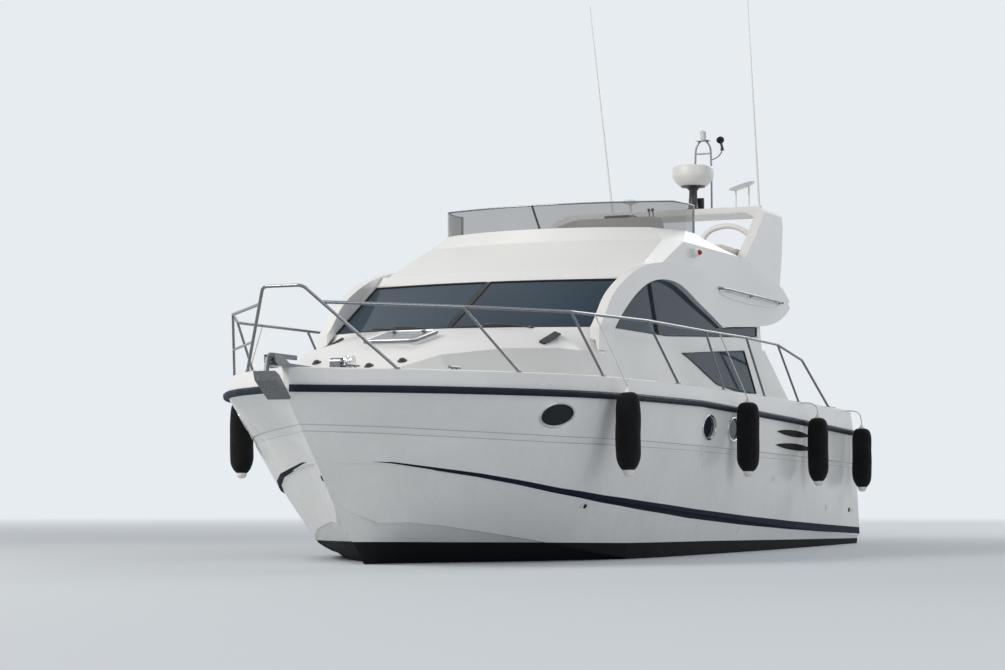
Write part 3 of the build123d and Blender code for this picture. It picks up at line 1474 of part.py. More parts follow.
with BuildPart() as helm_seat:
    with BuildSketch(Plane.XZ.offset(-helm_y - 325)):
        with BuildLine():
            Polyline(
                (900, saloon_sole_z), (1060, saloon_sole_z), (1060, 1440), (1250, 1470), (1250, 1580),
                (860, 1560), (740, 2640), (640, 2640), (700, 1460), (900, 1430), close=True,
            )
        make_face()
    extrude(amount=650)
write(helm_seat.part, "helm_seat")

with BuildPart() as saloon_settee:
    with BuildSketch(Plane.YZ.offset(-2300)):
        with BuildLine():
            Polyline(
                (860, saloon_sole_z), (well_half - seat_gap, saloon_sole_z), (well_half - seat_gap, 1900),
                (1360, 1900), (1330, 1480), (860, 1460), close=True,
            )
        make_face()
    extrude(amount=2900)
write(saloon_settee.part, "saloon_settee")

with BuildPart() as fenders:
    for x, side, top_z in fender_rows:
        lean = hypot(1, (sheer_half(x + 100) - sheer_half(x - 100)) / 200)
        y = side * (sheer_half(x) + (rub_proud + fender_radius + 3 * seat_gap) * lean)
        with Locations((x, y, top_z - fender_radius * 0.4)):
            Cylinder(30, fender_radius * 0.4, align=centred_low)
        with Locations((x, y, top_z - fender_radius * 1.1)):
            Cylinder(
                fender_radius, fender_length - 1.8 * fender_radius,
                align=(Align.CENTER, Align.CENTER, Align.MAX),
            )
            Sphere(fender_radius)
        with Locations((x, y, top_z - fender_length + fender_radius * 0.7)):
            Sphere(fender_radius)
write(fenders.part, "fenders")

write(hull.part, "hull")
write(deck.part, "deck")
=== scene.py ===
# %% [markdown]
# # A flybridge motor yacht
# The boat's exact shapes come from a CAD model, and this lesson gives them their finish.
# One metre in Blender is one metre on the boat. X points to the bow, Y to port and Z up,
# and a height of zero is the waterline.

from math import cos, pi, radians, sin

import bpy
from mathutils import Matrix, Vector


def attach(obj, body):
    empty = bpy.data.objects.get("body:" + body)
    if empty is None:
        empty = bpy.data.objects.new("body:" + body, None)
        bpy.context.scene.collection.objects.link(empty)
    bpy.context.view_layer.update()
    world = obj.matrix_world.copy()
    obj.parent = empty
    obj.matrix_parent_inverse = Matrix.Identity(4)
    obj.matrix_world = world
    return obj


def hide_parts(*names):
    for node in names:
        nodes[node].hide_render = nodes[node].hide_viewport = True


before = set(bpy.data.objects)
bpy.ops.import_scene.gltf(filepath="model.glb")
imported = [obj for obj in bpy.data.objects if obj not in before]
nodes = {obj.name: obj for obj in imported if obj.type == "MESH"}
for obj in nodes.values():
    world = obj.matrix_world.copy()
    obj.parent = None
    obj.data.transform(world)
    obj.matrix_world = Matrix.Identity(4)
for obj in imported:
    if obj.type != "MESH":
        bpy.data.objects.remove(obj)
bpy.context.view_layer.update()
print("CAD nodes:", len(nodes))

# %% [markdown]
# ## Camera
# The view is from just above the waterline, ahead of the boat and off its port bow. A long
# lens from a good way off keeps the bow and the stern near the same scale.

# %% Camera
lens_mm = 85.97
eye = Vector((24.706, 10.385, 0.70))
sight = Vector((-0.91067, -0.40812, 0.06418))
camera_data = bpy.data.cameras.new("camera")
camera_data.lens = lens_mm
camera_data.sensor_width = 36.0
camera_data.clip_end = 500.0
camera = bpy.data.objects.new("camera", camera_data)
camera.location = eye
camera.rotation_mode = "QUATERNION"
camera.rotation_quaternion = sight.to_track_quat("-Z", "Y")
bpy.context.scene.collection.objects.link(camera)
bpy.context.scene.camera = camera
print("camera at", tuple(round(v, 2) for v in eye))

# %% [markdown]
# ## Studio
# A pale floor lies at the waterline and catches the hull's shadow. Soft area lamps and an
# even world light the boat at a plain level, so that a colour shows about as it is written.
# Seen by the camera or in a mirror, the far floor and the world are one pale tone, which
# leaves no dark line where they meet.


# %% Helpers for node trees
def new_material(name):
    """A material with its Principled shader, and the tree that its nodes go in."""
    material = bpy.data.materials.new(name)
    material.use_nodes = True
    tree = material.node_tree
    return material, tree, tree.nodes["Principled BSDF"]


def add_node(tree, kind, **values):
    """One node, with its inputs given by name or by number, or linked from a socket."""
    node = tree.nodes.new(kind)
    for key, value in values.items():
        if hasattr(node, key):
            setattr(node, key, value)
            continue
        socket = node.inputs[int(key[1:])] if key[1:].isdigit() else node.inputs[key.replace("_", " ")]
        if isinstance(value, bpy.types.NodeSocket):
            tree.links.new(value, socket)
        else:
            socket.default_value = value
    return node


def calc(tree, operation, *values):
    """A sum on one or two numbers or sockets, such as MULTIPLY or LESS_THAN."""
    inputs = {f"i{i}": value for i, value in enumerate(values)}
    return add_node(tree, "ShaderNodeMath", operation=operation, **inputs).outputs[0]


def seen_by_eye(tree):
    """One where a ray comes from the camera, a mirror or glass, and zero where it only lights."""
    path = tree.nodes.new("ShaderNodeLightPath")
    either = calc(tree, "MAXIMUM", path.outputs["Is Camera Ray"], path.outputs["Is Glossy Ray"])
    return calc(tree, "MAXIMUM", either, path.outputs["Is Transmission Ray"])


print("node helpers: new_material, add_node, calc, seen_by_eye")

# %% World and lamps
pale_backdrop = (0.80, 0.84, 0.88, 1.0)
world = bpy.data.worlds.new("studio")
bpy.context.scene.world = world
world.use_nodes = True
tree = world.node_tree
tree.nodes.clear()
lit = add_node(tree, "ShaderNodeBackground", Color=(1.0, 1.0, 1.0, 1.0), Strength=0.34)
shown = add_node(tree, "ShaderNodeBackground", Color=pale_backdrop, Strength=1.0)
mixed = add_node(tree, "ShaderNodeMixShader", i0=seen_by_eye(tree), i1=lit.outputs[0], i2=shown.outputs[0])
add_node(tree, "ShaderNodeOutputWorld", i0=mixed.outputs[0])


def area_lamp(name, place, target, size, power, colour):
    """A square lamp of so many metres and watts, turned towards a target."""
    data = bpy.data.lights.new(name, "AREA")
    data.size = size
    data.energy = power
    data.color = colour
    lamp = bpy.data.objects.new(name, data)
    lamp.location = place
    lamp.rotation_mode = "QUATERNION"
    lamp.rotation_quaternion = (Vector(target) - Vector(place)).to_track_quat("-Z", "Y")
    bpy.context.scene.collection.objects.link(lamp)


area_lamp("key_lamp", (17.0, -12.0, 15.0), (1.0, 0.0, 1.5), 9.0, 3300, (1.0, 0.97, 0.92))
area_lamp("fill_lamp", (10.0, 22.0, 8.0), (0.0, 0.0, 1.5), 14.0, 900, (0.90, 0.95, 1.0))
area_lamp("back_lamp", (-18.0, 6.0, 14.0), (-1.0, 0.0, 2.0), 12.0, 1300, (1.0, 1.0, 1.0))
bpy.context.scene.view_settings.view_transform = "Standard"
print("lamps:", len(bpy.data.lights))

# %% Floor
floor_radius, fade_from, fade_to = 240.0, 9.0, 34.0
bpy.ops.object.select_all(action="DESELECT")
bpy.ops.mesh.primitive_circle_add(vertices=96, radius=floor_radius, fill_type="NGON", location=(0.0, 0.0, 0.0))
floor = bpy.context.object
floor.name = "floor"
material, tree, shader = new_material("pale_floor")
shader.inputs["Base Color"].default_value = (0.60, 0.64, 0.68, 1.0)
shader.inputs["Roughness"].default_value = 0.9
from_middle = tree.nodes.new("ShaderNodeTexCoord").outputs["Object"]
away = add_node(tree, "ShaderNodeVectorMath", operation="LENGTH", i0=from_middle).outputs["Value"]
far = add_node(tree, "ShaderNodeMapRange", Value=away, From_Min=fade_from, From_Max=fade_to).outputs[0]
glow = add_node(tree, "ShaderNodeEmission", Color=pale_backdrop, Strength=1.0)
fade = calc(tree, "MULTIPLY", far, seen_by_eye(tree))
mixed = add_node(tree, "ShaderNodeMixShader", i0=fade, i1=shader.outputs[0], i2=glow.outputs[0])
tree.links.new(mixed.outputs[0], tree.nodes["Material Output"].inputs["Surface"])
floor.data.materials.append(material)
print("floor at a height of", floor.location.z)

# %% [markdown]
# ## Finishes: how a pattern finds its place
# Every pattern reads the boat's own coordinates, so it stays put on the part in any view.
# The helpers below give a fine mottle for gloss, a bump, and a line along the hull whose
# height follows a short table, as a painter would mark it off from station to station.


# %% Pattern helpers
noise_low, noise_high = 0.3, 0.7


def boat_place(tree):
    """The place on the boat, as one vector."""
    return tree.nodes.new("ShaderNodeTexCoord").outputs["Object"]


def spot(tree):
    """The place on the boat, as x, y and z."""
    parts = add_node(tree, "ShaderNodeSeparateXYZ", i0=boat_place(tree))
    return parts.outputs[0], parts.outputs[1], parts.outputs[2]


def cloudy(tree, scale, detail=3.0, stretch=(1.0, 1.0, 1.0)):
    """Soft noise from nought to one, in so many lumps to the metre."""
    mapped = add_node(tree, "ShaderNodeMapping", Vector=boat_place(tree), Scale=stretch)
    return add_node(tree, "ShaderNodeTexNoise", Vector=mapped.outputs[0], Scale=scale, Detail=detail).outputs[0]


def cell_pattern(tree, scale):
    """Small cells, so many to the metre, as the way to the middle of the nearest."""
    place = boat_place(tree)
    return add_node(tree, "ShaderNodeTexVoronoi", Vector=place, Scale=scale).outputs["Distance"]


def spread(tree, value, low, high):
    """The band where most noise lies, spread between two values."""
    return add_node(tree, "ShaderNodeMapRange", Value=value, From_Min=noise_low, From_Max=noise_high,
                    To_Min=low, To_Max=high).outputs[0]


def blend_colours(tree, share, first, second):
    """Two colours, or sockets of colour, mixed by a share."""
    mix = add_node(tree, "ShaderNodeMix", data_type="RGBA")
    for socket, value in ((mix.inputs[0], share), (mix.inputs[6], first), (mix.inputs[7], second)):
        if isinstance(value, bpy.types.NodeSocket):
            tree.links.new(value, socket)
        else:
            socket.default_value = value if isinstance(value, float) else (*value[:3], 1.0)
    return mix.outputs[2]


def raised(tree, shader, height, distance, strength=1.0):
    """A bump on the shader, as deep as the distance in metres."""
    bump = add_node(tree, "ShaderNodeBump", Height=height, Distance=distance, Strength=strength)
    tree.links.new(bump.outputs[0], shader.inputs["Normal"])


def line_height(tree, x, table):
    """Height of a line along the hull, from a table of x and height, with straight runs between."""
    lowest, deepest, span = table[0][0], -1.0, 3.0
    place = add_node(tree, "ShaderNodeMapRange", Value=x, From_Min=lowest, From_Max=table[-1][0]).outputs[0]
    ramp = add_node(tree, "ShaderNodeValToRGB", Fac=place)
    stops = ramp.color_ramp.elements
    stops.remove(stops[1])
    for i, (place_x, height) in enumerate(table):
        share = (place_x - lowest) / (table[-1][0] - lowest)
        stop = stops[0] if i == 0 else stops.new(share)
        stop.position = share
        stop.color = ((height - deepest) / span,) * 3 + (1.0,)
    return calc(tree, "ADD", calc(tree, "MULTIPLY", ramp.outputs[0], span), deepest)


print("pattern helpers: boat_place, spot, cloudy, cell_pattern, spread, blend_colours, raised")

# %% [markdown]
# ## Hull
# The topsides are white gelcoat over a mould, with a dark blue line painted along the
# knuckle and a black boot-top just above the waterline. A fine blue-grey line at each edge
# of the shallow groove higher up is painted shade, where the groove's edges cast shade. The
# lines aren't level: they sweep up to the bow, so their heights come from tables. A box marks
# the inside of the boat, where nothing is painted.
# It reaches down to the keel, so the middle of the bottom stays white as well.

# %% Hull gelcoat
stripe_low = (
    (-5.833, 0.123), (-4.133, 0.176), (-2.465, 0.234), (-0.745, 0.308), (0.94, 0.400), (2.215, 0.498),
    (2.936, 0.575), (3.614, 0.668), (4.397, 0.815), (5.042, 0.936), (5.20, 0.950), (5.578, 0.990),
)
stripe_high = (
    (-5.833, 0.208), (-4.133, 0.266), (-2.465, 0.329), (-0.745, 0.408), (0.94, 0.500), (2.215, 0.583),
    (2.936, 0.643), (3.614, 0.715), (4.397, 0.847), (5.042, 0.950), (5.20, 0.951), (5.578, 0.951),
)
groove_line = (
    (-5.47, 1.0), (-2.293, 1.065), (-0.624, 1.096), (1.035, 1.125), (2.322, 1.145), (3.82, 1.165),
    (4.232, 1.181), (4.647, 1.2), (5.302, 1.235), (5.877, 1.25),
)
boot_top = ((-6.0, 0.065), (0.13, 0.146), (2.2, 0.165), (3.4, 0.19), (5.6, 0.225))
inside_half, inside_front, inside_back = 1.49, 2.21, -4.87
# painted shade: the groove's two edge lines lie between these distances from its middle
groove_shade_from, groove_shade_to = 0.025, 0.033
bottom_paint_top = -0.02
material, tree, shader = new_material("hull_gelcoat")
x, y, z = spot(tree)
outer = calc(tree, "GREATER_THAN", calc(tree, "ABSOLUTE", y), inside_half)
outer = calc(tree, "MAXIMUM", outer, calc(tree, "GREATER_THAN", x, inside_front))
outer = calc(tree, "MAXIMUM", outer, calc(tree, "LESS_THAN", x, inside_back))
in_stripe = calc(tree, "MULTIPLY", calc(tree, "GREATER_THAN", z, line_height(tree, x, stripe_low)),
                 calc(tree, "LESS_THAN", z, line_height(tree, x, stripe_high)))
off_groove = calc(tree, "ABSOLUTE", calc(tree, "SUBTRACT", z, line_height(tree, x, groove_line)))
groove_shade = calc(tree, "MULTIPLY", calc(tree, "GREATER_THAN", off_groove, groove_shade_from),
               calc(tree, "LESS_THAN", off_groove, groove_shade_to))
in_boot = calc(tree, "LESS_THAN", z, line_height(tree, x, boot_top))
below = calc(tree, "LESS_THAN", z, bottom_paint_top)
mottle = spread(tree, cloudy(tree, 1.4, 4.0), 0.0, 1.0)
white = blend_colours(tree, mottle, (0.80, 0.80, 0.785), (0.86, 0.86, 0.85))
streaks = spread(tree, cloudy(tree, 3.0, 5.0, (6.0, 6.0, 0.5)), 0.0, 0.16)
white = blend_colours(tree, streaks, white, (0.66, 0.66, 0.62))
# painted shade: blue-grey at the groove's edges, for the shade that its recess casts
colour = blend_colours(tree, calc(tree, "MULTIPLY", groove_shade, calc(tree, "MULTIPLY", outer, 0.55)), white,
                       (0.28, 0.33, 0.36))
colour = blend_colours(tree, calc(tree, "MULTIPLY", in_stripe, outer), colour, (0.004, 0.007, 0.022))
colour = blend_colours(tree, calc(tree, "MULTIPLY", in_boot, outer), colour, (0.004, 0.0045, 0.006))
colour = blend_colours(tree, calc(tree, "MULTIPLY", below, outer), colour, (0.020, 0.035, 0.070))
tree.links.new(colour, shader.inputs["Base Color"])
rough = spread(tree, cloudy(tree, 9.0, 4.0), 0.16, 0.26)
painted = calc(tree, "MULTIPLY", calc(tree, "MAXIMUM", in_boot, in_stripe), outer)
tree.links.new(calc(tree, "ADD", rough, calc(tree, "MULTIPLY", painted, 0.6)), shader.inputs["Roughness"])
shader.inputs["Specular IOR Level"].default_value = 0.25
hull_gelcoat = material
print("hull lines:", len(stripe_low), "stations")

# %% [markdown]
# ## Deck and superstructure
# The mouldings above the deck joint are the same gelcoat with no lines. Where people walk,
# the mould gives a fine raised grip, which a dense bump of small cells on level faces shows.


# %% White mouldings
level_enough, grip_cells, grip_rough = 0.985, 160.0, 0.6


def white_moulding(name, colour, rough_low, rough_high, grip):
    """White gelcoat. The grip is how much of the walking surfaces' raised pattern shows."""
    material, tree, shader = new_material(name)
    pale = tuple(min(1.0, value * 1.06) for value in colour)
    tint = blend_colours(tree, spread(tree, cloudy(tree, 0.7, 1.0), 0.0, 1.0), colour, pale)
    rough = spread(tree, cloudy(tree, 0.9, 1.0), rough_low, rough_high)
    if grip:
        facing = tree.nodes.new("ShaderNodeNewGeometry").outputs["Normal"]
        upward = add_node(tree, "ShaderNodeSeparateXYZ", i0=facing).outputs[2]
        level = calc(tree, "GREATER_THAN", upward, level_enough)
        cells = cell_pattern(tree, grip_cells)
        tint = blend_colours(tree, calc(tree, "MULTIPLY", level, grip), tint, (0.70, 0.71, 0.70))
        rough = calc(tree, "MAXIMUM", rough, calc(tree, "MULTIPLY", level, grip_rough))
        raised(tree, shader, calc(tree, "MULTIPLY", cells, level), 0.0006, 0.4)
    tree.links.new(tint, shader.inputs["Base Color"])
    tree.links.new(rough, shader.inputs["Roughness"])
    return material


deck_white = white_moulding("deck_white", (0.81, 0.81, 0.80), 0.24, 0.36, 0.8)
house_white = white_moulding("house_white", (0.82, 0.82, 0.81), 0.2, 0.3, 0.0)
gear_white = white_moulding("gear_white", (0.80, 0.80, 0.79), 0.28, 0.4, 0.0)
lip_white = white_moulding("lip_white", (0.80, 0.80, 0.79), 0.22, 0.3, 0.0)
print("white finishes: 4")

# %% [markdown]
# ## Glass
# The windows are dark tinted glass: a little of the saloon shows through them, and a faint
# reflection lies on them. A thin pane needs no bending of light, so a plain surface that
# lets a small share of the light through is enough, and it exports as it is seen.


# %% Dark panes
def dark_pane(name, colour, through, roughness):
    """Glass or clear plastic that lets a share of the light straight through."""
    material, tree, shader = new_material(name)
    smear = spread(tree, cloudy(tree, 3.0, 4.0, (1.0, 1.0, 2.5)), roughness, roughness + 0.05)
    tree.links.new(smear, shader.inputs["Roughness"])
    shade = tuple(value * 1.5 for value in colour)
    tree.links.new(blend_colours(tree, spread(tree, cloudy(tree, 0.8), 0.0, 1.0), colour, shade),
                   shader.inputs["Base Color"])
    shader.inputs["Alpha"].default_value = 1.0 - through
    shader.inputs["Specular IOR Level"].default_value = 0.16
    return material


tinted_glass = dark_pane("tinted_glass", (0.007, 0.026, 0.046), 0.12, 0.03)
port_glass = dark_pane("port_glass", (0.012, 0.018, 0.022), 0.03, 0.04)
smoked_sheet = dark_pane("smoked_sheet", (0.11, 0.11, 0.105), 0.66, 0.06)
smoked_lid = dark_pane("smoked_lid", (0.16, 0.17, 0.19), 0.08, 0.2)
red_lens = dark_pane("red_lens", (0.42, 0.010, 0.016), 0.08, 0.08)
green_lens = dark_pane("green_lens", (0.010, 0.22, 0.075), 0.08, 0.08)
clear_lens = dark_pane("clear_lens", (0.60, 0.62, 0.64), 0.10, 0.08)
print("panes and lenses: 7")

# %% [markdown]
# ## Metals, timber, rubber and cloth
# Rails are polished stainless steel, which mirrors what is round it, and its colour is set darker than bare steel's
# as a painted reflection of dark surroundings.
# The anchor is dull zinc with a spangle, darkened as painted shade of the bow roller round it, and the running gear
# below is bronze with a green bloom. Teak is laid in strips along the boat with black caulking between them.
# Rubber,
# vinyl and fleece differ mostly in how rough they are and how deep their fine cells go.


# %% Metals
def metal(name, colour, second, rough_low, rough_high, scale, bump, metallic=1.0):
    """Metal or painted metal, mottled between two close tones and two roughnesses."""
    material, tree, shader = new_material(name)
    share = spread(tree, cloudy(tree, scale, 5.0), 0.0, 1.0)
    tree.links.new(blend_colours(tree, share, colour, second), shader.inputs["Base Color"])
    rough = spread(tree, cloudy(tree, scale * 1.7, 4.0), rough_low, rough_high)
    tree.links.new(rough, shader.inputs["Roughness"])
    shader.inputs["Metallic"].default_value = metallic
    raised(tree, shader, cloudy(tree, scale * 3.0, 3.0), bump)
    return material


# painted reflection: the steel's tones are darkened to stand for dark surroundings that it mirrors
stainless = metal("stainless", (0.20, 0.205, 0.215), (0.27, 0.275, 0.285), 0.2, 0.3, 40.0, 0.0002)
chrome = metal("chrome", (0.66, 0.67, 0.69), (0.74, 0.75, 0.77), 0.06, 0.12, 30.0, 0.0001)
# painted shade: the anchor's zinc is darkened for the shade of the bow roller round it
zinc = metal("zinc", (0.17, 0.175, 0.18), (0.26, 0.265, 0.27), 0.45, 0.65, 55.0, 0.0008)
aluminium = metal("aluminium", (0.55, 0.56, 0.57), (0.63, 0.64, 0.65), 0.3, 0.42, 60.0, 0.0002)
bronze = metal("bronze", (0.42, 0.27, 0.13), (0.20, 0.25, 0.18), 0.32, 0.6, 14.0, 0.001)
engine_enamel = metal("engine_enamel", (0.10, 0.15, 0.12), (0.14, 0.19, 0.16), 0.35, 0.5, 20.0, 0.001, 0.2)
black_paint = metal("black_paint", (0.018, 0.018, 0.020), (0.030, 0.030, 0.033), 0.3, 0.45, 30.0, 0.0005, 0.0)
print("metals and paints: 7")

# %% Timber
beyond_port = 50.0


def planks(name, colour, second, width, seam, seam_colour, roughness):
    """Boards along the boat with a seam between them, and grain that runs with the boards."""
    material, tree, shader = new_material(name)
    boards_across = calc(tree, "DIVIDE", calc(tree, "ADD", spot(tree)[1], beyond_port), width)
    in_seam = calc(tree, "LESS_THAN", calc(tree, "FRACT", boards_across), seam / width)
    board = calc(tree, "FLOOR", boards_across)
    tone = add_node(tree, "ShaderNodeTexWhiteNoise", noise_dimensions="1D", W=board).outputs["Value"]
    grain = spread(tree, cloudy(tree, 60.0, 6.0, (0.06, 1.0, 1.0)), 0.0, 1.0)
    wood = blend_colours(tree, grain, colour, second)
    darker = tuple(value * 0.6 for value in colour)
    wood = blend_colours(tree, calc(tree, "MULTIPLY", tone, 0.35), wood, darker)
    tree.links.new(blend_colours(tree, in_seam, wood, seam_colour), shader.inputs["Base Color"])
    tree.links.new(spread(tree, grain, roughness, roughness + 0.2), shader.inputs["Roughness"])
    raised(tree, shader, calc(tree, "SUBTRACT", calc(tree, "MULTIPLY", grain, 0.3), in_seam), 0.0012)
    return material


caulk, oiled_seam, floor_seam = (0.015, 0.014, 0.013), (0.03, 0.025, 0.02), (0.04, 0.03, 0.02)
teak = planks("teak", (0.42, 0.27, 0.15), (0.50, 0.34, 0.20), 0.05, 0.005, caulk, 0.5)
teak_steps = planks("teak_steps", (0.38, 0.23, 0.12), (0.46, 0.29, 0.16), 0.06, 0.003, oiled_seam, 0.4)
cabin_floor = planks("cabin_floor", (0.26, 0.14, 0.07), (0.34, 0.19, 0.10), 0.09, 0.002, floor_seam, 0.25)
print("timber: 3")


# %% Rubber, grips, trim and covers
def soft_finish(name, colour, second, rough, cell_scale, bump, sheen):
    """Rubber, vinyl, leather or fleece: fine cells that catch the light, in two close tones."""
    material, tree, shader = new_material(name)
    cells = cell_pattern(tree, cell_scale)
    share = spread(tree, cloudy(tree, 7.0, 5.0), 0.0, 1.0)
    tree.links.new(blend_colours(tree, share, colour, second), shader.inputs["Base Color"])
    worn = spread(tree, cloudy(tree, 25.0, 3.0), rough - 0.07, rough + 0.07)
    tree.links.new(worn, shader.inputs["Roughness"])
    raised(tree, shader, cells, bump)
    shader.inputs["Sheen Weight"].default_value = sheen
    shader.inputs["Specular IOR Level"].default_value = 0.18
    return material


rubber = soft_finish("rubber", (0.006, 0.010, 0.020), (0.010, 0.016, 0.028), 0.6, 300.0, 0.0006, 0.0)
grip_black = soft_finish("grip_black", (0.015, 0.015, 0.016), (0.03, 0.03, 0.031), 0.55, 420.0, 0.0006, 0.1)
vinyl = soft_finish("vinyl", (0.72, 0.68, 0.60), (0.78, 0.75, 0.68), 0.5, 380.0, 0.0005, 0.15)
leather = soft_finish("leather", (0.030, 0.028, 0.030), (0.048, 0.045, 0.046), 0.45, 300.0, 0.0007, 0.15)
beige_trim = soft_finish("beige_trim", (0.50, 0.45, 0.38), (0.56, 0.51, 0.44), 0.6, 420.0, 0.0004, 0.0)
fleece = soft_finish("fleece", (0.0045, 0.0045, 0.005), (0.009, 0.009, 0.010), 0.92, 260.0, 0.003, 0.06)
pvc_white = soft_finish("pvc_white", (0.80, 0.80, 0.78), (0.84, 0.84, 0.82), 0.4, 200.0, 0.0002, 0.0)
rope = soft_finish("rope", (0.62, 0.61, 0.57), (0.74, 0.73, 0.69), 0.8, 240.0, 0.002, 0.2)
# black for the gauge dials, and painted shade for the openings of the intakes, the dark skin fittings and the stem
# drain
black_dials_and_hole_shade = soft_finish("black_dials_and_hole_shade", (0.004, 0.004, 0.005), (0.009, 0.009, 0.010), 0.8, 200.0, 0.0004, 0.0)
print("soft finishes: 9")

# %% The CAD nodes' finishes
finishes = {
    port_glass: ("portholes",),
    hull_gelcoat: ("hull",),
    deck_white: ("deck", "flybridge", "anchor_locker_lid"),
    house_white: ("deckhouse", "side_arch_port", "side_arch_starboard", "aft_bulkhead", "flybridge_console",
                  "flybridge_seats", "radar_arch", "transom_gate", "cockpit_bench"),
    gear_white: ("radome", "satellite_dish", "gps_antenna", "whip_antennas"),
    rubber: ("rub_rail_port", "rub_rail_starboard"),
    tinted_glass: ("windscreen_glass", "side_glass_port", "side_glass_starboard", "aft_glass",
                   "saloon_door_glass"),
    smoked_sheet: ("wind_deflector",),
    smoked_lid: ("flybridge_hatch", "foredeck_hatch"),
    stainless: ("saloon_door", "pulpit", "guard_rail_port", "guard_rail_starboard", "bow_roller", "windlass",
                "cleats", "bathing_ladder", "trim_tab_port", "trim_tab_starboard"),
    chrome: ("windlass_drum",),
    zinc: ("anchor",),
    bronze: ("propeller_port", "propeller_starboard", "shaft_brackets", "rudder_port", "rudder_starboard"),
    engine_enamel: ("engines",),
    black_paint: ("nav_mast",),
    teak: ("cockpit_sole", "engine_hatch", "bathing_platform"),
    teak_steps: ("flybridge_ladder",),
    cabin_floor: ("saloon_sole",),
    grip_black: ("flybridge_wheel", "saloon_wheel"),
    beige_trim: ("helm_console",),
    vinyl: ("flybridge_cushions", "cockpit_cushion"),
    leather: ("helm_seat", "saloon_settee"),
    fleece: ("fenders",),
}
for material, names in finishes.items():
    for name in names:
        nodes[name].data.materials.clear()
        nodes[name].data.materials.append(material)
print("finishes:", len(finishes), "on", sum(len(names) for names in finishes.values()), "nodes")

# %% [markdown]
# ## Ways to make a piece
# A new piece starts from a primitive, takes its form in edit mode or by modifiers, and is
# then put in its place on the boat. Small fittings find the skin that they sit on with a
# ray, as a fitter offers a piece up to the moulding, so they lie on it and not near it.


# %% Helpers that finish and place a piece
def bare():
    """Nothing selected, so that the next operator acts on the new piece only."""
    bpy.ops.object.select_all(action="DESELECT")


def modified(piece, kind, **settings):
    """Give a piece a modifier and apply it."""
    modifier = piece.modifiers.new(kind.lower(), kind)
    for key, value in settings.items():
        setattr(modifier, key, value)
    bpy.context.view_layer.objects.active = piece
    bpy.ops.object.modifier_apply(modifier=modifier.name)
    return piece


def stand(point, along, out):
    """Axes at a point of a surface: X along a direction, Z out of the surface."""
    z = Vector(out).normalized()
    x = (Vector(along) - z * Vector(along).dot(z)).normalized()
    return Matrix.Translation(point) @ Matrix((x, z.cross(x), z)).transposed().to_4x4()


def at_place(x, y, z):
    """A place with its axes along the boat's own."""
    return Matrix.Translation((x, y, z))


def moved(piece, at):
    piece.data.transform(at)
    return piece


def settled(piece, name, body, material, at=None, angle=40.0):
    """Put a finished piece in its place, with clean normals, a finish and a body."""
    bare()
    piece.select_set(True)
    bpy.context.view_layer.objects.active = piece
    bpy.ops.object.transform_apply(location=True, rotation=True, scale=True)
    if at is not None:
        piece.data.transform(at)
    bpy.ops.object.mode_set(mode="EDIT")
    bpy.ops.mesh.select_all(action="SELECT")
    bpy.ops.mesh.normals_make_consistent(inside=False)
    bpy.ops.object.mode_set(mode="OBJECT")
    bpy.ops.object.shade_smooth_by_angle(angle=radians(angle))
    piece.name = name
    piece.data.name = name
    piece.data.materials.clear()
    piece.data.materials.append(material)
    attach(piece, body)


print("helpers: bare, modified, stand, at_place, moved, settled")


# %% Helpers that make a form
def block(size, bevel, centre=(0.0, 0.0, 0.0)):
    """A block with rounded edges."""
    bare()
    bpy.ops.mesh.primitive_cube_add(size=1.0, location=centre)
    piece = bpy.context.object
    piece.scale = size
    bpy.ops.object.transform_apply(location=True, rotation=True, scale=True)
    return modified(piece, "BEVEL", width=bevel, segments=3)


def turned(rings, segments=32, at=None):
    """A round form, drawn up ring by ring from a disc. Each ring is a radius and a height."""
    bare()
    bpy.ops.mesh.primitive_circle_add(
        vertices=segments, radius=rings[0][0], fill_type="NGON", location=(0.0, 0.0, rings[0][1]))
    piece = bpy.context.object
    bpy.ops.object.transform_apply(location=True, rotation=True, scale=True)
    bpy.ops.object.mode_set(mode="EDIT")
    bpy.ops.mesh.select_all(action="SELECT")
    for (radius, height), (next_radius, next_height) in zip(rings, rings[1:]):
        bpy.ops.mesh.extrude_region_move(TRANSFORM_OT_translate={"value": (0.0, 0.0, next_height - height)})
        share = next_radius / radius
        bpy.ops.transform.resize(value=(share, share, 1.0), center_override=(0.0, 0.0, next_height))
    bpy.ops.object.mode_set(mode="OBJECT")
    return piece if at is None else moved(piece, at)


def drawn(name, points, radius, roundness, smooth, closed=False):
    """A round line along points, still a curve. With smooth, its bends are rounded."""
    curve = bpy.data.curves.new(name, "CURVE")
    curve.dimensions = "3D"
    curve.bevel_depth = radius
    curve.bevel_resolution = roundness
    spline = curve.splines.new("NURBS" if smooth else "POLY")
    spline.points.add(len(points) - 1)
    for place, point in zip(spline.points, points):
        place.co = (*point, 1.0)
    spline.use_cyclic_u = closed
    if smooth:
        spline.order_u = 3
        spline.use_endpoint_u = not closed
        curve.resolution_u = smooth
    line = bpy.data.objects.new(name, curve)
    bpy.context.scene.collection.objects.link(line)
    return line


def pipe(points, radius, closed=False, smooth=0):
    """A tube along points, as a mesh, with its ends capped."""
    piece = drawn("pipe", points, radius, 3, smooth, closed)
    piece.data.use_fill_caps = not closed
    bare()
    piece.select_set(True)
    bpy.context.view_layer.objects.active = piece
    bpy.ops.object.convert(target="MESH")
    return bpy.context.object


def joined(pieces):
    """Several forms as one piece."""
    bare()
    for piece in pieces:
        piece.select_set(True)
    bpy.context.view_layer.objects.active = pieces[0]
    bpy.ops.object.join()
    return pieces[0]


print("helpers: block, turned, drawn, pipe, joined")

# %% Helpers that find the skin
bpy.context.view_layer.update()
outside = 4.0


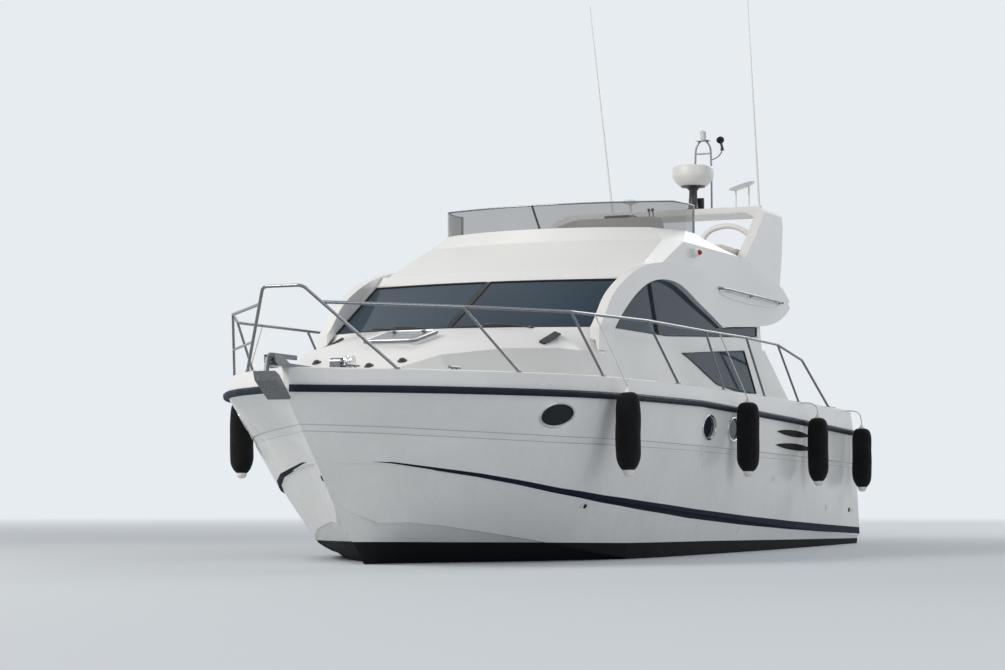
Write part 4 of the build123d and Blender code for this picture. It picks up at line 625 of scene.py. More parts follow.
def on_node(name, start, towards):
    """Where a ray meets a CAD node, and the way the surface faces there."""
    node = nodes[name]
    into = node.matrix_world.inverted()
    found, place, facing, _ = node.ray_cast(into @ Vector(start), into.to_3x3() @ Vector(towards))
    if not found:
        raise ValueError(f"no surface of {name} from {start}")
    return node.matrix_world @ place, (node.matrix_world.to_3x3() @ facing).normalized()


def on_hull(x, z, side):
    """Where a level ray from abeam meets the hull's side, and the way it faces."""
    return on_node("hull", (x, side * outside, z), (0.0, -side, 0.0))


print("hull side at x 0, z 0.8:", round(on_hull(0.0, 0.8, 1)[0].y, 3))

# %% [markdown]
# ## Fenders
# Each fender is an air-filled tube under a black fleece cover that is drawn in at both
# ends, so the white end of the tube shows below. It hangs from the rail on a light line.

# %% Fender covers, ends and lines
fender_mesh = nodes["fenders"].data
fender_reach, eye_height, knot_height = 0.16, 0.792, 0.840
fender_places = []
for x, side in ((3.4, 1), (0.04, 1), (-2.76, 1), (-5.05, 1), (3.25, -1)):
    near = [v.co for v in fender_mesh.vertices if abs(v.co.x - x) < fender_reach and v.co.y * side > 0]
    middle = 0.5 * (min(v.y for v in near) + max(v.y for v in near))
    fender_places.append((x, middle, min(v.z for v in near)))
cover_rings = (
    (0.050, 0.800), (0.070, 0.792), (0.092, 0.775), (0.108, 0.745), (0.117, 0.700), (0.121, 0.640),
    (0.122, 0.580), (0.121, 0.520), (0.122, 0.460), (0.121, 0.400), (0.122, 0.340), (0.121, 0.280),
    (0.121, 0.225), (0.118, 0.180), (0.110, 0.145), (0.096, 0.112), (0.080, 0.085), (0.064, 0.066),
    (0.052, 0.056), (0.040, 0.050),
)
fleece_folds = bpy.data.textures.new("fleece_folds", "CLOUDS")
fleece_folds.noise_scale = 0.16
fleece_folds.noise_depth = 1
for number, (x, y, low) in enumerate(fender_places, 1):
    cover = turned([(radius, height + low) for radius, height in cover_rings], 40, at_place(x, y, 0.0))
    modified(cover, "DISPLACE", texture=fleece_folds, texture_coords="LOCAL", strength=0.016, mid_level=0.55)
    modified(cover, "SUBSURF", levels=1, render_levels=1)
    settled(cover, f"fender_cover_{number}", "boat", fleece, angle=80.0)
    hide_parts("fenders")
    tip = turned(((0.018, 0.0), (0.030, 0.003), (0.044, 0.016), (0.052, 0.034), (0.055, 0.060),
                  (0.050, 0.075)), 24)
    settled(tip, f"fender_end_{number}", "boat", pvc_white, at=at_place(x, y, low), angle=60.0)
    neck = turned(((0.040, 0.0), (0.036, 0.020), (0.020, 0.034), (0.017, 0.046), (0.012, 0.052)), 24)
    settled(neck, f"fender_eye_{number}", "boat", pvc_white,
            at=at_place(x, y, low + eye_height), angle=60.0)
print("fenders:", [(round(x, 2), round(y, 2)) for x, y, low in fender_places])

# %% [markdown]
# ## Fender lines
# The lines that come off the guard rail hang nearly straight. The two furthest aft come
# over the edge of the deck instead, so each is drawn through a few points with its bends
# rounded, and stays a curve. A rounded line is a little shorter than its points' way.

# %% Fender lines
rail_line = (
    (5.09, 1.2, 2.35), (3.98, 1.8, 2.36), (2.3, 1.93, 2.38), (0.56, 1.93, 2.38), (-0.82, 1.93, 2.39),
    (-2.06, 1.9, 2.38), (-3.08, 1.88, 2.25), (-4.25, 1.83, 1.75),
)
over_the_edge, rounding_saves = (3, 4), 0.92


def rail_at(x, side):
    """A point of the guard rail's centreline."""
    for (x1, y1, z1), (x0, y0, z0) in zip(rail_line, rail_line[1:]):
        if x0 <= x <= x1:
            share = (x - x0) / (x1 - x0)
            return Vector((x, side * (y0 + share * (y1 - y0)), z0 + share * (z1 - z0)))


for number, (x, y, low) in enumerate(fender_places, 1):
    side = 1 if y > 0 else -1
    top = Vector((x, y, low + knot_height))
    if number in over_the_edge:
        toe = on_node("deck", (x, y - side * 0.20, 3.0), (0.0, 0.0, -1.0))[0]
        start = toe + Vector((0.0, -side * 0.03, 0.007))
        ways = [start, toe + Vector((0.0, side * 0.05, 0.022)), Vector((x, y, toe.z - 0.015)), top]
    else:
        start = rail_at(x + 0.12, side) + Vector((0.0, 0.019 * side, 0.0))
        ways = [start, start.lerp(top, 0.5), top]
    line = drawn(f"fender_line_{number}", ways, 0.006, 2, 12)
    line.data.materials.append(rope)
    length = sum((b - a).length for a, b in zip(ways, ways[1:]))
    if number in over_the_edge:
        length *= rounding_saves
    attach(line, "boat")
print("fender lines tied")

# %% [markdown]
# ## Windows
# Each porthole has a polished oval rim, screwed to the hull side around its pocket. The
# big windows are bonded panes with a black rubber edge, and the windscreen's two panes
# meet at a black strip.


# %% Porthole rims
def oval_rim(half_long, half_high, width, thickness):
    """A flat oval ring with rounded edges, face up."""
    bare()
    bpy.ops.mesh.primitive_circle_add(vertices=72, radius=1.0, fill_type="NOTHING")
    piece = bpy.context.object
    piece.scale = (half_long, half_high, 1.0)
    bpy.ops.object.transform_apply(location=False, rotation=False, scale=True)
    bpy.ops.object.mode_set(mode="EDIT")
    bpy.ops.mesh.select_all(action="SELECT")
    bpy.ops.mesh.extrude_region_move(TRANSFORM_OT_translate={"value": (0.0, 0.0, 0.0)})
    bpy.ops.transform.resize(
        value=((half_long + width) / half_long, (half_high + width) / half_high, 1.0),
        center_override=(0.0, 0.0, 0.0))
    bpy.ops.object.mode_set(mode="OBJECT")
    modified(piece, "SOLIDIFY", thickness=thickness, offset=0.0)
    return modified(piece, "BEVEL", width=thickness * 0.4, segments=3, limit_method="ANGLE")


porthole_half_long, porthole_half_high = 0.192, 0.116
for side, side_name in ((1, "port"), (-1, "starboard")):
    for number, (x, z) in enumerate(((4.056, 1.392), (0.78, 1.35), (-0.04, 1.35)), 1):
        rim_points = [on_hull(x + 0.215 * cos(a), z + 0.135 * sin(a), side)[0]
                      for a in (0.0, pi / 2, pi, 3 * pi / 2)]
        along = rim_points[0] - rim_points[2]
        upward = rim_points[1] - rim_points[3]
        out = along.cross(upward) * (1 if along.cross(upward).y * side > 0 else -1)
        centre = sum(rim_points, Vector()) / 4 + out.normalized() * 0.004
        rim = oval_rim(porthole_half_long, porthole_half_high, 0.020, 0.012)
        settled(rim, f"porthole_rim_{side_name}_{number}", "boat", chrome,
                at=stand(centre, along, out))
print("porthole rims: 6")

# %% Rubber edges of the side windows
sill, wall_half, wall_lean = 2.31, 1.55, 0.0877


def on_wall(x, z, side, out=0.0):
    """A point on the deckhouse wall, which leans in as it rises."""
    return Vector((x, side * (wall_half - wall_lean * (z - sill) + out), z))


def through(points, steps=6):
    """Points on a smooth line through the given ones."""
    ways = []
    for i in range(len(points) - 1):
        before, start = points[max(i - 1, 0)], points[i]
        end, after = points[i + 1], points[min(i + 2, len(points) - 1)]
        for step in range(steps):
            t = step / steps
            ways.append(tuple(
                0.5 * (2 * b + (c - a) * t + (2 * a - 5 * b + 4 * c - d) * t**2
                       + (3 * b - a - 3 * c + d) * t**3)
                for a, b, c, d in zip(before, start, end, after)))
    return ways + [tuple(points[-1])]


arch_window = through((
    (2.208, 2.326), (1.957, 2.491), (1.733, 2.617), (1.386, 2.778), (1.043, 2.885), (0.561, 2.947),
    (0.087, 2.919), (-0.376, 2.784), (-0.758, 2.673), (-1.195, 2.537),
)) + [(-2.408, 2.611), (-2.379, 2.503), (-1.061, 2.432), (0.714, 2.337)]
tri_window = through((
    (-2.170, 1.822), (-0.958, 1.863), (-0.562, 1.941), (-0.183, 2.052), (0.093, 2.131), (0.278, 2.171),
)) + [(-1.858, 2.304)]
for side, side_name in ((1, "port"), (-1, "starboard")):
    for name, outline in (("arch_window", arch_window), ("tri_window", tri_window)):
        edge = pipe([on_wall(x, z, side, 0.001) for x, z in outline], 0.011, closed=True)
        settled(edge, f"{name}_rubber_{side_name}", "boat", grip_black)
    bar = pipe([on_wall(1.135 - 0.2143 * (2.95 - z), z, side, 0.000) for z in (2.86, 2.60, 2.33)], 0.024)
    settled(bar, f"arch_window_bar_{side_name}", "boat", grip_black)
print("side windows edged: 4")


# %% Windscreen strip, rubber and wipers
def on_screen(y, z, out=0.0):
    """A point on the windscreen's face, which is an arc in plan that flattens as it rises."""
    rise = z - sill
    half = wall_half - wall_lean * rise - 0.03
    corner, bulge = 2.5 - 1.52 * rise, 0.4 - 0.313 * rise
    radius = (half**2 + bulge**2) / (2 * bulge)
    return Vector((corner + bulge - radius + (radius**2 - y**2) ** 0.5 + out, y, z))


screen_strip = block((1.146, 0.062, 0.008), 0.003)
low, high = on_screen(0.0, 2.315, 0.006), on_screen(0.0, 2.870, 0.006)
settled(screen_strip, "windscreen_strip", "boat", grip_black,
        at=stand((low + high) / 2, high - low, (0.48, 0.0, 0.88)))
for side, side_name in ((1, "port"), (-1, "starboard")):
    corners = ((0.025, 2.322), (1.475, 2.322), (1.430, 2.865), (0.025, 2.865))
    ways = []
    for (y0, z0), (y1, z1) in zip(corners, corners[1:] + corners[:1]):
        ways += [on_screen(side * (y0 + (y1 - y0) * t / 10), z0 + (z1 - z0) * t / 10, 0.002) for t in range(10)]
    edge = pipe(ways, 0.009, closed=True)
    settled(edge, f"windscreen_rubber_{side_name}", "boat", grip_black)
for side_name, y_from, y_to in (("port", 0.90, 0.10), ("starboard", -0.12, -0.92)):
    pivot = on_screen(y_from, 2.312, 0.085)
    end = on_screen(y_to, 2.345, 0.050)
    middle = pivot.lerp(end, 0.45) + Vector((0.02, 0.0, 0.028))
    arm = pipe([pivot, middle, pivot.lerp(end, 0.62) + Vector((0.01, 0.0, 0.020))], 0.008, smooth=8)
    blade = pipe([pivot.lerp(end, t) + Vector((0.0, 0.0, 0.004 - 0.012 * (t - 0.6) ** 2))
                  for t in (0.22, 0.4, 0.6, 0.8, 1.0)], 0.009, smooth=6)
    cap = turned(((0.030, 0.0), (0.030, 0.012), (0.022, 0.030), (0.012, 0.034)), 20,
                 at_place(*(pivot - Vector((0.0, 0.0, 0.018)))))
    settled(joined([arm, blade, cap]), f"wiper_{side_name}", "boat", black_paint)
print("windscreen edged, wipers parked")

# %% [markdown]
# ## Hull fittings
# Two long air intakes feed the engines through each side: each opening is a lens-shaped black
# sheet that follows the skin, painted shade for the dark inside of the intake. Small flanged
# outlets drain the sinks, the cockpit and the bilge; those with a dark hole are black all over,
# painted shade for the opening.


# %% Engine air intakes
def skin_patch(rows, thickness, name, body, material, side):
    """A patch that lies on the hull. Rows give its points, edge to edge, as x and height."""
    bare()
    across, along = len(rows[0]), len(rows)
    bpy.ops.mesh.primitive_grid_add(x_subdivisions=across - 1, y_subdivisions=along - 1, size=1.0)
    piece = bpy.context.object
    for number, vertex in enumerate(piece.data.vertices):
        x, z = rows[number // across][number % across]
        vertex.co = on_hull(x, z, side)[0]
    modified(piece, "SOLIDIFY", thickness=thickness, offset=0.0)
    settled(piece, name, body, material, angle=30.0)


# the black layer is painted shade, standing for the dark inside of the intake's opening
# ending of the name, how far past the opening, thickness, slot and finish
intake_layers = (("_lip", 0.012, 0.008, "hull_gelcoat", lip_white),
                 ("", 0.0, 0.014, "black_bracket", black_dials_and_hole_shade))
stations = 32
for side, side_name in ((1, "port"), (-1, "starboard")):
    for number, (x, z, length) in enumerate(((-2.31, 1.345, 1.40), (-2.37, 1.190, 1.58)), 1):
        for ending, grow, thickness, slot, finish in intake_layers:
            rows = []
            for i in range(stations + 1):
                share = i / stations * 2 - 1
                swell = max(0.0, 1.0 - share**2)
                middle = z + 0.004 + 0.014 * share
                half = 0.001 + 0.038 * swell ** 0.8 + grow
                rows.append([(x + share * (length / 2 + grow * 1.5), middle + half * k)
                             for k in (-1, -0.33, 0.33, 1)])
            skin_patch(rows, thickness, f"air_intake_{side_name}_{number}{ending}", "boat", finish, side)
print("air intakes: 4")

# %% Skin fittings
# x, height, flange radius, dark hole or not: a fitting with a dark hole is black all over, as painted shade for its
# opening
fitting_rows = (
    (3.16, 0.545, 0.020, False), (3.07, 0.534, 0.020, False), (3.115, 0.539, 0.016, True),
    (0.579, 0.334, 0.026, False), (-0.689, 0.251, 0.024, False), (0.92, 1.08, 0.018, False),
    (0.857, 0.955, 0.018, False), (-1.603, 0.829, 0.030, False), (-3.998, 0.483, 0.030, False),
    (-5.304, 0.436, 0.022, False), (-5.18, 0.440, 0.020, True),
)
flange_rings = ((1.5, -0.004), (1.45, 0.006), (1.0, -0.004), (1.0, 0.004), (0.86, 0.009), (0.55, 0.010),
                (0.50, 0.003), (0.2, 0.001))
for number, (x, z, radius, dark) in enumerate(fitting_rows, 1):
    for side, side_name in ((1, "port"), (-1, "starboard")):
        place, out = on_hull(x, z, side)
        rings = [(radius * share, height) for share, height in flange_rings]
        slot, finish = ("black_bracket", black_dials_and_hole_shade) if dark else ("radome_white", pvc_white)
        settled(turned(rings, 24), f"skin_fitting_{side_name}_{number}", "boat", finish,
                at=stand(place, (1.0, 0.0, 0.0), out))
# painted shade: the stem drain is black all over for its dark opening
place, out = on_node("hull", (9.0, -0.06, 0.80), (-1.0, 0.0, 0.0))
drain = turned(((0.030, -0.004), (0.030, 0.004), (0.022, 0.008), (0.014, 0.002)), 24)
settled(drain, "stem_drain", "boat", black_dials_and_hole_shade, at=stand(place, (0.0, 1.0, 0.0), out))
print("skin fittings:", 2 * len(fitting_rows) + 1)

# %% [markdown]
# ## Superstructure fittings
# A rail to hold runs along each wing of the flybridge, above a shallow moulded surround.
# The side lights stand on the coaming, red to port and green to starboard, and the wind
# deflector is stiffened by a black joint strip, a bead along its top and a post at each end.

# %% Grab rails and their surrounds
rail_ends = (Vector((-0.96, 0.0, 2.965)), Vector((-3.14, 0.0, 2.955)))
face, stand_off, end_run = 1.5755, 0.055, 0.03
for side, side_name in ((1, "port"), (-1, "starboard")):
    out = Vector((0.0, side, 0.0))
    ways = [rail_ends[0].lerp(rail_ends[1], share) for share in (0.0, 0.25, 0.5, 0.75, 1.0)]
    bar = [Vector((p.x, side * (face + stand_off), p.z)) for p in ways]
    bar = [Vector((bar[0].x + end_run, side * face, bar[0].z)), *bar,
           Vector((bar[-1].x - end_run, side * face, bar[-1].z))]
    forms = [pipe(bar, 0.0125, smooth=6)]
    for p, shift in ((ways[0], end_run), (ways[2], 0.0), (ways[4], -end_run)):
        forms.append(turned(((0.026, 0.0), (0.026, 0.005), (0.014, 0.008), (0.0105, 0.010), (0.0105, 0.052)), 20,
                            stand((p.x + shift, side * face, p.z), (1.0, 0.0, 0.0), out)))
    settled(joined(forms), f"grab_rail_{side_name}", "boat", stainless)
    lip = oval_rim(1.10, 0.052, 0.014, 0.010)
    settled(lip, f"grab_rail_surround_{side_name}", "boat", lip_white,
            at=stand((-2.05, side * (face + 0.002), 2.925), (1.0, 0.0, -0.004), out))
print("grab rails: 2")

# %% Side lights
for side, side_name, lens_finish in ((1, "port", red_lens), (-1, "starboard", green_lens)):
    place = on_node("flybridge", (-0.18, side * 3.0, 3.30), (0.0, -side, 0.0))[0]
    at = stand(place, (1.0, 0.0, 0.0), (0.0, side, 0.12))
    body = joined([block((0.135, 0.085, 0.060), 0.014, (0.0, 0.0, 0.028)),
                   block((0.165, 0.110, 0.012), 0.005, (0.0, 0.0, 0.002))])
    settled(body, f"side_light_{side_name}", "boat", pvc_white, at=at)
    bare()
    bpy.ops.mesh.primitive_uv_sphere_add(segments=24, ring_count=16, radius=0.036)
    lens = bpy.context.object
    lens.scale = (0.9, 1.0, 0.85)
    settled(lens, f"side_light_lens_{side_name}", "boat", lens_finish,
            at=at_place(*(place + Vector((-0.045, side * 0.058, 0.006)))), angle=60.0)
print("side lights: 2")

# %% Wind deflector's strip, bead and posts
deflector_foot, deflector_height, deflector_half = 3.55, 0.31, 1.435
bead_z, wing_y, post_x, post_y = 3.861, 1.433, -0.505, 1.425


def on_deflector(y, z, out=0.0):
    """A point on the deflector's face, between its rows at its foot and its head."""
    share = (z - deflector_foot) / deflector_height
    corner, bulge = 0.29 - 0.29 * share, 0.33 - 0.08 * share
    half = deflector_half - (0.20 - 0.14 * share)
    radius = (half**2 + bulge**2) / (2 * bulge)
    return Vector((corner + bulge - radius + (radius**2 - y**2) ** 0.5 + out, y, z))


strip_ways = [on_deflector(-0.215 + 0.255 * (3.86 - z) / deflector_height, z, 0.004)
              for z in (3.565, 3.66, 3.76, 3.855)]
settled(pipe(strip_ways, 0.012), "deflector_strip_port", "boat", grip_black)
head = [Vector((-0.485, wing_y, bead_z)), Vector((-0.25, wing_y, bead_z))]
head += [on_deflector(y / 20 * 1.36, bead_z) for y in range(20, -21, -1)]
head += [Vector((-0.25, -wing_y, bead_z)), Vector((-0.485, -wing_y, bead_z))]
settled(pipe(head, 0.0085), "deflector_bead", "boat", stainless)
for side, side_name in ((1, "port"), (-1, "starboard")):
    y = side * post_y
    post = joined([
        pipe([(post_x, y, 3.50), (post_x, y, 3.862)], 0.013),
        turned(((0.030, 0.0), (0.030, 0.006), (0.016, 0.009)), 20, at_place(post_x, y, 3.515)),
        turned(((0.0135, 0.0), (0.0135, 0.006), (0.008, 0.012)), 20, at_place(post_x, y, 3.860)),
    ])
    settled(post, f"deflector_post_{side_name}", "boat", stainless)
print("deflector trimmed")

# %% [markdown]
# ## Gear on the arch
# The radar scanner sits in a squat white drum with a chamfered foot. Behind it a light
# mast of two thin tubes carries the anchor light and a horn. The television dish leans on
# two stalks to port of them, and a mushroom aerial for satellite positions stands to
# starboard. Each is a profile drawn up ring by ring, because each was turned or moulded.

# %% Radar drum
radar_x, radar_y = -3.48, 0.365
drum = turned((
    (0.150, 4.480), (0.165, 4.483), (0.205, 4.515), (0.240, 4.560), (0.256, 4.590), (0.2585, 4.605),
    (0.2560, 4.609), (0.2560, 4.613), (0.2590, 4.617), (0.2590, 4.690), (0.255, 4.708), (0.244, 4.721),
    (0.215, 4.728), (0.10, 4.7295),
), 64)
settled(drum, "radar_drum", "boat", gear_white,
        at=at_place(radar_x, radar_y, 0.0), angle=35.0)
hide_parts("radome")
print("radar drum:", len(drum.data.vertices), "points")

# %% Mast, radar bracket, anchor light and horn
mast_x, mast_y, tube_right, tube_left = -3.88, 0.36, 0.25, 0.47
horn_x, horn_y = -3.86, 0.62
mast_forms = []
for y in (tube_right, tube_left):
    mast_forms.append(pipe([(mast_x, y, 4.182), (mast_x, y, 4.95), (mast_x, y + (mast_y - y) * 0.25, 5.06),
                            (mast_x, mast_y + (y - mast_y) * 0.35, 5.10)], 0.0125, smooth=8))
    mast_forms.append(turned(((0.034, 4.182), (0.034, 4.188), (0.018, 4.193)), 20, at_place(mast_x, y, 0.0)))
for z in (4.62, 4.94):
    mast_forms.append(pipe([(mast_x, tube_right, z), (mast_x, tube_left, z)], 0.010))
mast_forms.append(block((0.10, 0.17, 0.012), 0.004, (mast_x, mast_y, 5.105)))
mast_forms.append(pipe([(mast_x, tube_left, 4.86), (horn_x, 0.60, 4.88), (horn_x, horn_y, 4.98)], 0.008,
                       smooth=6))
settled(joined(mast_forms), "mast_tubes", "boat", stainless)
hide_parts("nav_mast")
bracket = joined([
    turned(((0.110, 4.170), (0.110, 4.182), (0.082, 4.190), (0.062, 4.210), (0.052, 4.300), (0.050, 4.420),
            (0.075, 4.455), (0.150, 4.468), (0.152, 4.4797)), 40, at_place(radar_x, radar_y, 0.0)),
    block((0.030, 0.20, 0.16), 0.006, (-3.60, radar_y, 4.262)),
    block((0.34, 0.030, 0.020), 0.006, (-3.66, radar_y, 4.335)),
])
settled(bracket, "radar_bracket", "boat", black_paint)
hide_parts("nav_mast")
lamp = turned(((0.040, 5.111), (0.040, 5.128), (0.034, 5.133), (0.036, 5.140), (0.038, 5.170), (0.036, 5.200),
               (0.040, 5.206), (0.042, 5.216), (0.030, 5.232), (0.012, 5.238)), 32)
settled(lamp, "anchor_light", "boat", clear_lens, at=at_place(mast_x, mast_y, 0.0))
horn = joined([
    turned(((0.018, 0.0), (0.016, 0.05), (0.018, 0.12), (0.028, 0.18), (0.048, 0.215), (0.050, 0.222),
            (0.040, 0.214), (0.012, 0.17)), 28, stand((horn_x, horn_y, 5.00), (0.0, 1.0, 0.0), (0.90, 0.20, 0.30))),
    turned(((0.022, 4.965), (0.024, 4.975), (0.018, 5.00)), 20, at_place(horn_x, horn_y, 0.0)),
])
settled(horn, "horn", "boat", black_paint)
print("mast forms:", len(mast_forms))

# %% Dish and mushroom aerial
dish_x, dish_y, stalk_gap = -3.60, 0.97, 0.085
lean = stand((dish_x, dish_y, 4.460), (1.0, 0.0, 0.05), (0.10, -0.30, 1.0))
dish = turned(((0.060, -0.022), (0.110, -0.018), (0.150, -0.006), (0.168, 0.008), (0.171, 0.014),
               (0.168, 0.019), (0.150, 0.022), (0.110, 0.026), (0.050, 0.029)), 56, lean)
stalks = [pipe([(dish_x, dish_y + dy, 4.172), (dish_x, dish_y + dy, 4.446 + 0.30 * dy)], 0.011)
          for dy in (-stalk_gap, stalk_gap)]
feet = [turned(((0.030, 4.170), (0.030, 4.177), (0.014, 4.182)), 20, at_place(dish_x, dish_y + dy, 0.0))
        for dy in (-stalk_gap, stalk_gap)]
settled(joined([dish, *stalks, *feet]), "tilted_dish", "boat", gear_white)
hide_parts("satellite_dish")
mushroom = turned((
    (0.032, 4.1705), (0.032, 4.180), (0.016, 4.190), (0.014, 4.290), (0.026, 4.305), (0.052, 4.312),
    (0.088, 4.322), (0.100, 4.334), (0.094, 4.348), (0.070, 4.362), (0.034, 4.370), (0.010, 4.371),
), 40)
settled(mushroom, "mushroom_aerial", "boat", gear_white, at=at_place(-3.60, -0.52, 0.0))
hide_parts("gps_antenna")
print("dish and mushroom aerial stand on the arch")

# %% [markdown]
# ## Foredeck
# Three caps, a vent on each side, and the hatch's aluminium frame with its two handles are
# small, but they give the long white deck its scale. The caps and vents find the deck with
# a ray. The frame and handles ride on the hatch's own body, so they open with its lid.

# %% Deck caps and vents
above_deck, down = 4.0, (0.0, 0.0, -1.0)
for number, (x, y) in enumerate(((4.94, 0.17), (4.81, 0.45), (4.81, -0.45)), 1):
    place, out = on_node("deck", (x, y, above_deck), down)
    cap = turned(((0.046, -0.003), (0.046, 0.005), (0.038, 0.009), (0.030, 0.012), (0.028, 0.022),
                  (0.018, 0.028)), 28)
    settled(cap, f"deck_cap_{number}", "boat", black_paint,
            at=stand(place, (1.0, 0.0, 0.0), out))
for side, side_name in ((1, "port"), (-1, "starboard")):
    first, out = on_node("deck", (3.29, side * 1.20, above_deck), down)
    last, out_last = on_node("deck", (2.87, side * 1.20, above_deck), down)
    slats = [block((0.022, 0.075, 0.014), 0.003, (x, 0.0, 0.022)) for x in
             (-0.18, -0.14, -0.10, -0.06, -0.02, 0.02, 0.06, 0.10, 0.14, 0.18)]
    vent = joined([block((0.44, 0.060, 0.020), 0.008, (0.0, 0.0, 0.008)), *slats])
    settled(vent, f"cabin_vent_{side_name}", "boat", black_paint,
            at=stand((first + last) / 2, first - last, out + out_last))
print("deck caps: 3, cabin vents: 2")

# %% Foredeck hatch's frame and handles
slope = radians(13.0)
hatch_out = Vector((sin(slope), 0.0, cos(slope)))
hatch_at = stand((3.93, 0.0, 2.135), (cos(slope), 0.0, -sin(slope)), hatch_out)
lid = nodes["foredeck_hatch"]
lid_top = max((hatch_at.inverted() @ lid.matrix_world @ v.co).z for v in lid.data.vertices)
corner, half = 0.06, 0.276
ways = []
for turn, (cx, cy) in enumerate(((1, 1), (-1, 1), (-1, -1), (1, -1))):
    for step in range(7):
        angle = radians(90 * turn + 15 * step)
        ways.append(hatch_at @ Vector((cx * (half - corner) + corner * cos(angle),
                                       cy * (half - corner) + corner * sin(angle), lid_top + 0.001)))
settled(pipe(ways, 0.011, closed=True), "foredeck_hatch_frame", "foredeck_hatch", aluminium)
handles = []
for y in (-0.16, 0.16):
    handles.append(turned(((0.026, 0.0), (0.026, 0.006), (0.016, 0.010), (0.014, 0.018)), 24,
                          hatch_at @ at_place(-0.20, y, lid_top)))
    handles.append(moved(block((0.075, 0.018, 0.012), 0.004), hatch_at @ at_place(-0.17, y, lid_top + 0.020)))
settled(joined(handles), "foredeck_hatch_handles", "foredeck_hatch", stainless)
print("hatch lid top", round(lid_top, 4), "above its frame's plane")

# %% [markdown]
# ## Helms
# Each wheel gets a boss with a bright cap, and each console its instruments: round gauges
# behind a rim, a plotter with a black screen, and throttle levers. Their dials are bare.


# %% Instruments
def on_panel(points, y, share, depth=0.0):
    """A point on a console's sloping face, between two points of its side view."""
    (x0, z0), (x1, z1) = points
    out = Vector((-(z1 - z0), 0.0, x1 - x0)).normalized()
    return Vector((x0 + (x1 - x0) * share, y, z0 + (z1 - z0) * share)) + out * depth, out


def gauges(panel, rows, name, body):
    """Round gauges, each at a y and a share up the panel, and of a radius."""
    forms, faces = [], []
    for y, share, radius in rows:
        place, out = on_panel(panel, y, share)
        at = stand(place, (0.0, 1.0, 0.0), out)
        forms.append(turned(((radius, -0.002), (radius, 0.009), (radius * 0.93, 0.012), (radius * 0.86, 0.011),
                             (radius * 0.84, 0.004)), 28, at))
        faces.append(turned(((radius * 0.83, 0.002), (radius * 0.83, 0.0065), (radius * 0.5, 0.007)), 24, at))
    settled(joined(forms), f"{name}_gauge_rims", body, chrome)
    settled(joined(faces), f"{name}_gauge_faces", body, black_dials_and_hole_shade)


def plotter(panel, y, share, width, height, name):
    """A case with a dark screen, square on the panel."""
    place, out = on_panel(panel, y, share)
    at = stand(place, (0.0, 1.0, 0.0), out)
    case = moved(block((width, height, 0.040), 0.010, (0.0, 0.0, 0.014)), at)
    settled(case, f"{name}_plotter", "boat", black_paint)
    screen = moved(block((width * 0.84, height * 0.78, 0.006), 0.002, (0.0, 0.0, 0.034)), at)
    settled(screen, f"{name}_plotter_screen", "boat", tinted_glass)


gauge_panel = ((-0.29, 3.63), (-0.23, 3.70))
gauges(gauge_panel, [(y, 0.5, 0.034) for y in (0.42, 0.52, 0.88, 0.98)], "flybridge", "boat")
console_top = ((-0.23, 3.70), (0.06, 3.70))
plotter(console_top, 0.70, 0.45, 0.30, 0.20, "flybridge")
saloon_panel = ((1.81, 1.95), (1.90, 2.24))
gauges(saloon_panel, ((-1.22, 0.72, 0.042), (-1.10, 0.72, 0.042), (-0.70, 0.72, 0.042), (-0.58, 0.72, 0.042),
                      (-1.22, 0.38, 0.034), (-0.58, 0.38, 0.034)), "saloon", "boat")
plotter(saloon_panel, -0.90, 0.66, 0.30, 0.19, "saloon")
print("gauges: 10, plotters: 2")

# %% Wheel bosses and throttles
wheel_axis = (-0.8660254, 0.0, 0.5)
for name, base, wheel_body in (("flybridge", (-0.475, 0.70, 3.61), "flybridge_wheel"),
                               ("saloon", (1.625, -0.90, 1.93), "saloon_wheel")):
    at = stand(base, (0.0, 1.0, 0.0), wheel_axis)
    boss = turned(((0.052, 0.004), (0.052, 0.018), (0.044, 0.028), (0.030, 0.033), (0.012, 0.034)), 36, at)
    settled(boss, f"{name}_wheel_boss", wheel_body, grip_black)
    cap = turned(((0.034, 0.030), (0.034, 0.0345), (0.028, 0.0365), (0.010, 0.037)), 32, at)
    settled(cap, f"{name}_wheel_cap", wheel_body, chrome)
for name, (x, y, z) in (("flybridge", (-0.26, 1.02, 3.665)), ("saloon", (1.80, -0.50, 1.95))):
    levers = [moved(block((0.14, 0.10, 0.05), 0.015, (0.0, 0.0, 0.010)), at_place(x, y, z))]
    for lever_y in (y - 0.022, y + 0.022):
        levers.append(pipe([(x, lever_y, z + 0.02), (x + 0.02, lever_y, z + 0.10), (x + 0.035, lever_y, z + 0.13)],
                           0.006, smooth=4))
        levers.append(turned(((0.008, 0.0), (0.016, 0.010), (0.018, 0.024), (0.012, 0.036)), 16,
                             at_place(x + 0.035, lever_y, z + 0.12)))
    settled(joined(levers), f"{name}_throttles", "boat", black_paint)
print("wheel bosses: 2, throttles: 2")

# %% [markdown]
# ## Cushions
# A boat cushion is foam in a sewn cover: its faces crown, its sides pull in between the
# corners, and a piping runs round each edge where the panels are sewn together. Each pad
# starts as a cube divided into a fine net, whose points are moved by the same rule.

# %% Sewn pads
net_cuts, piping_radius, edge_steps = 38, 0.0055, 14


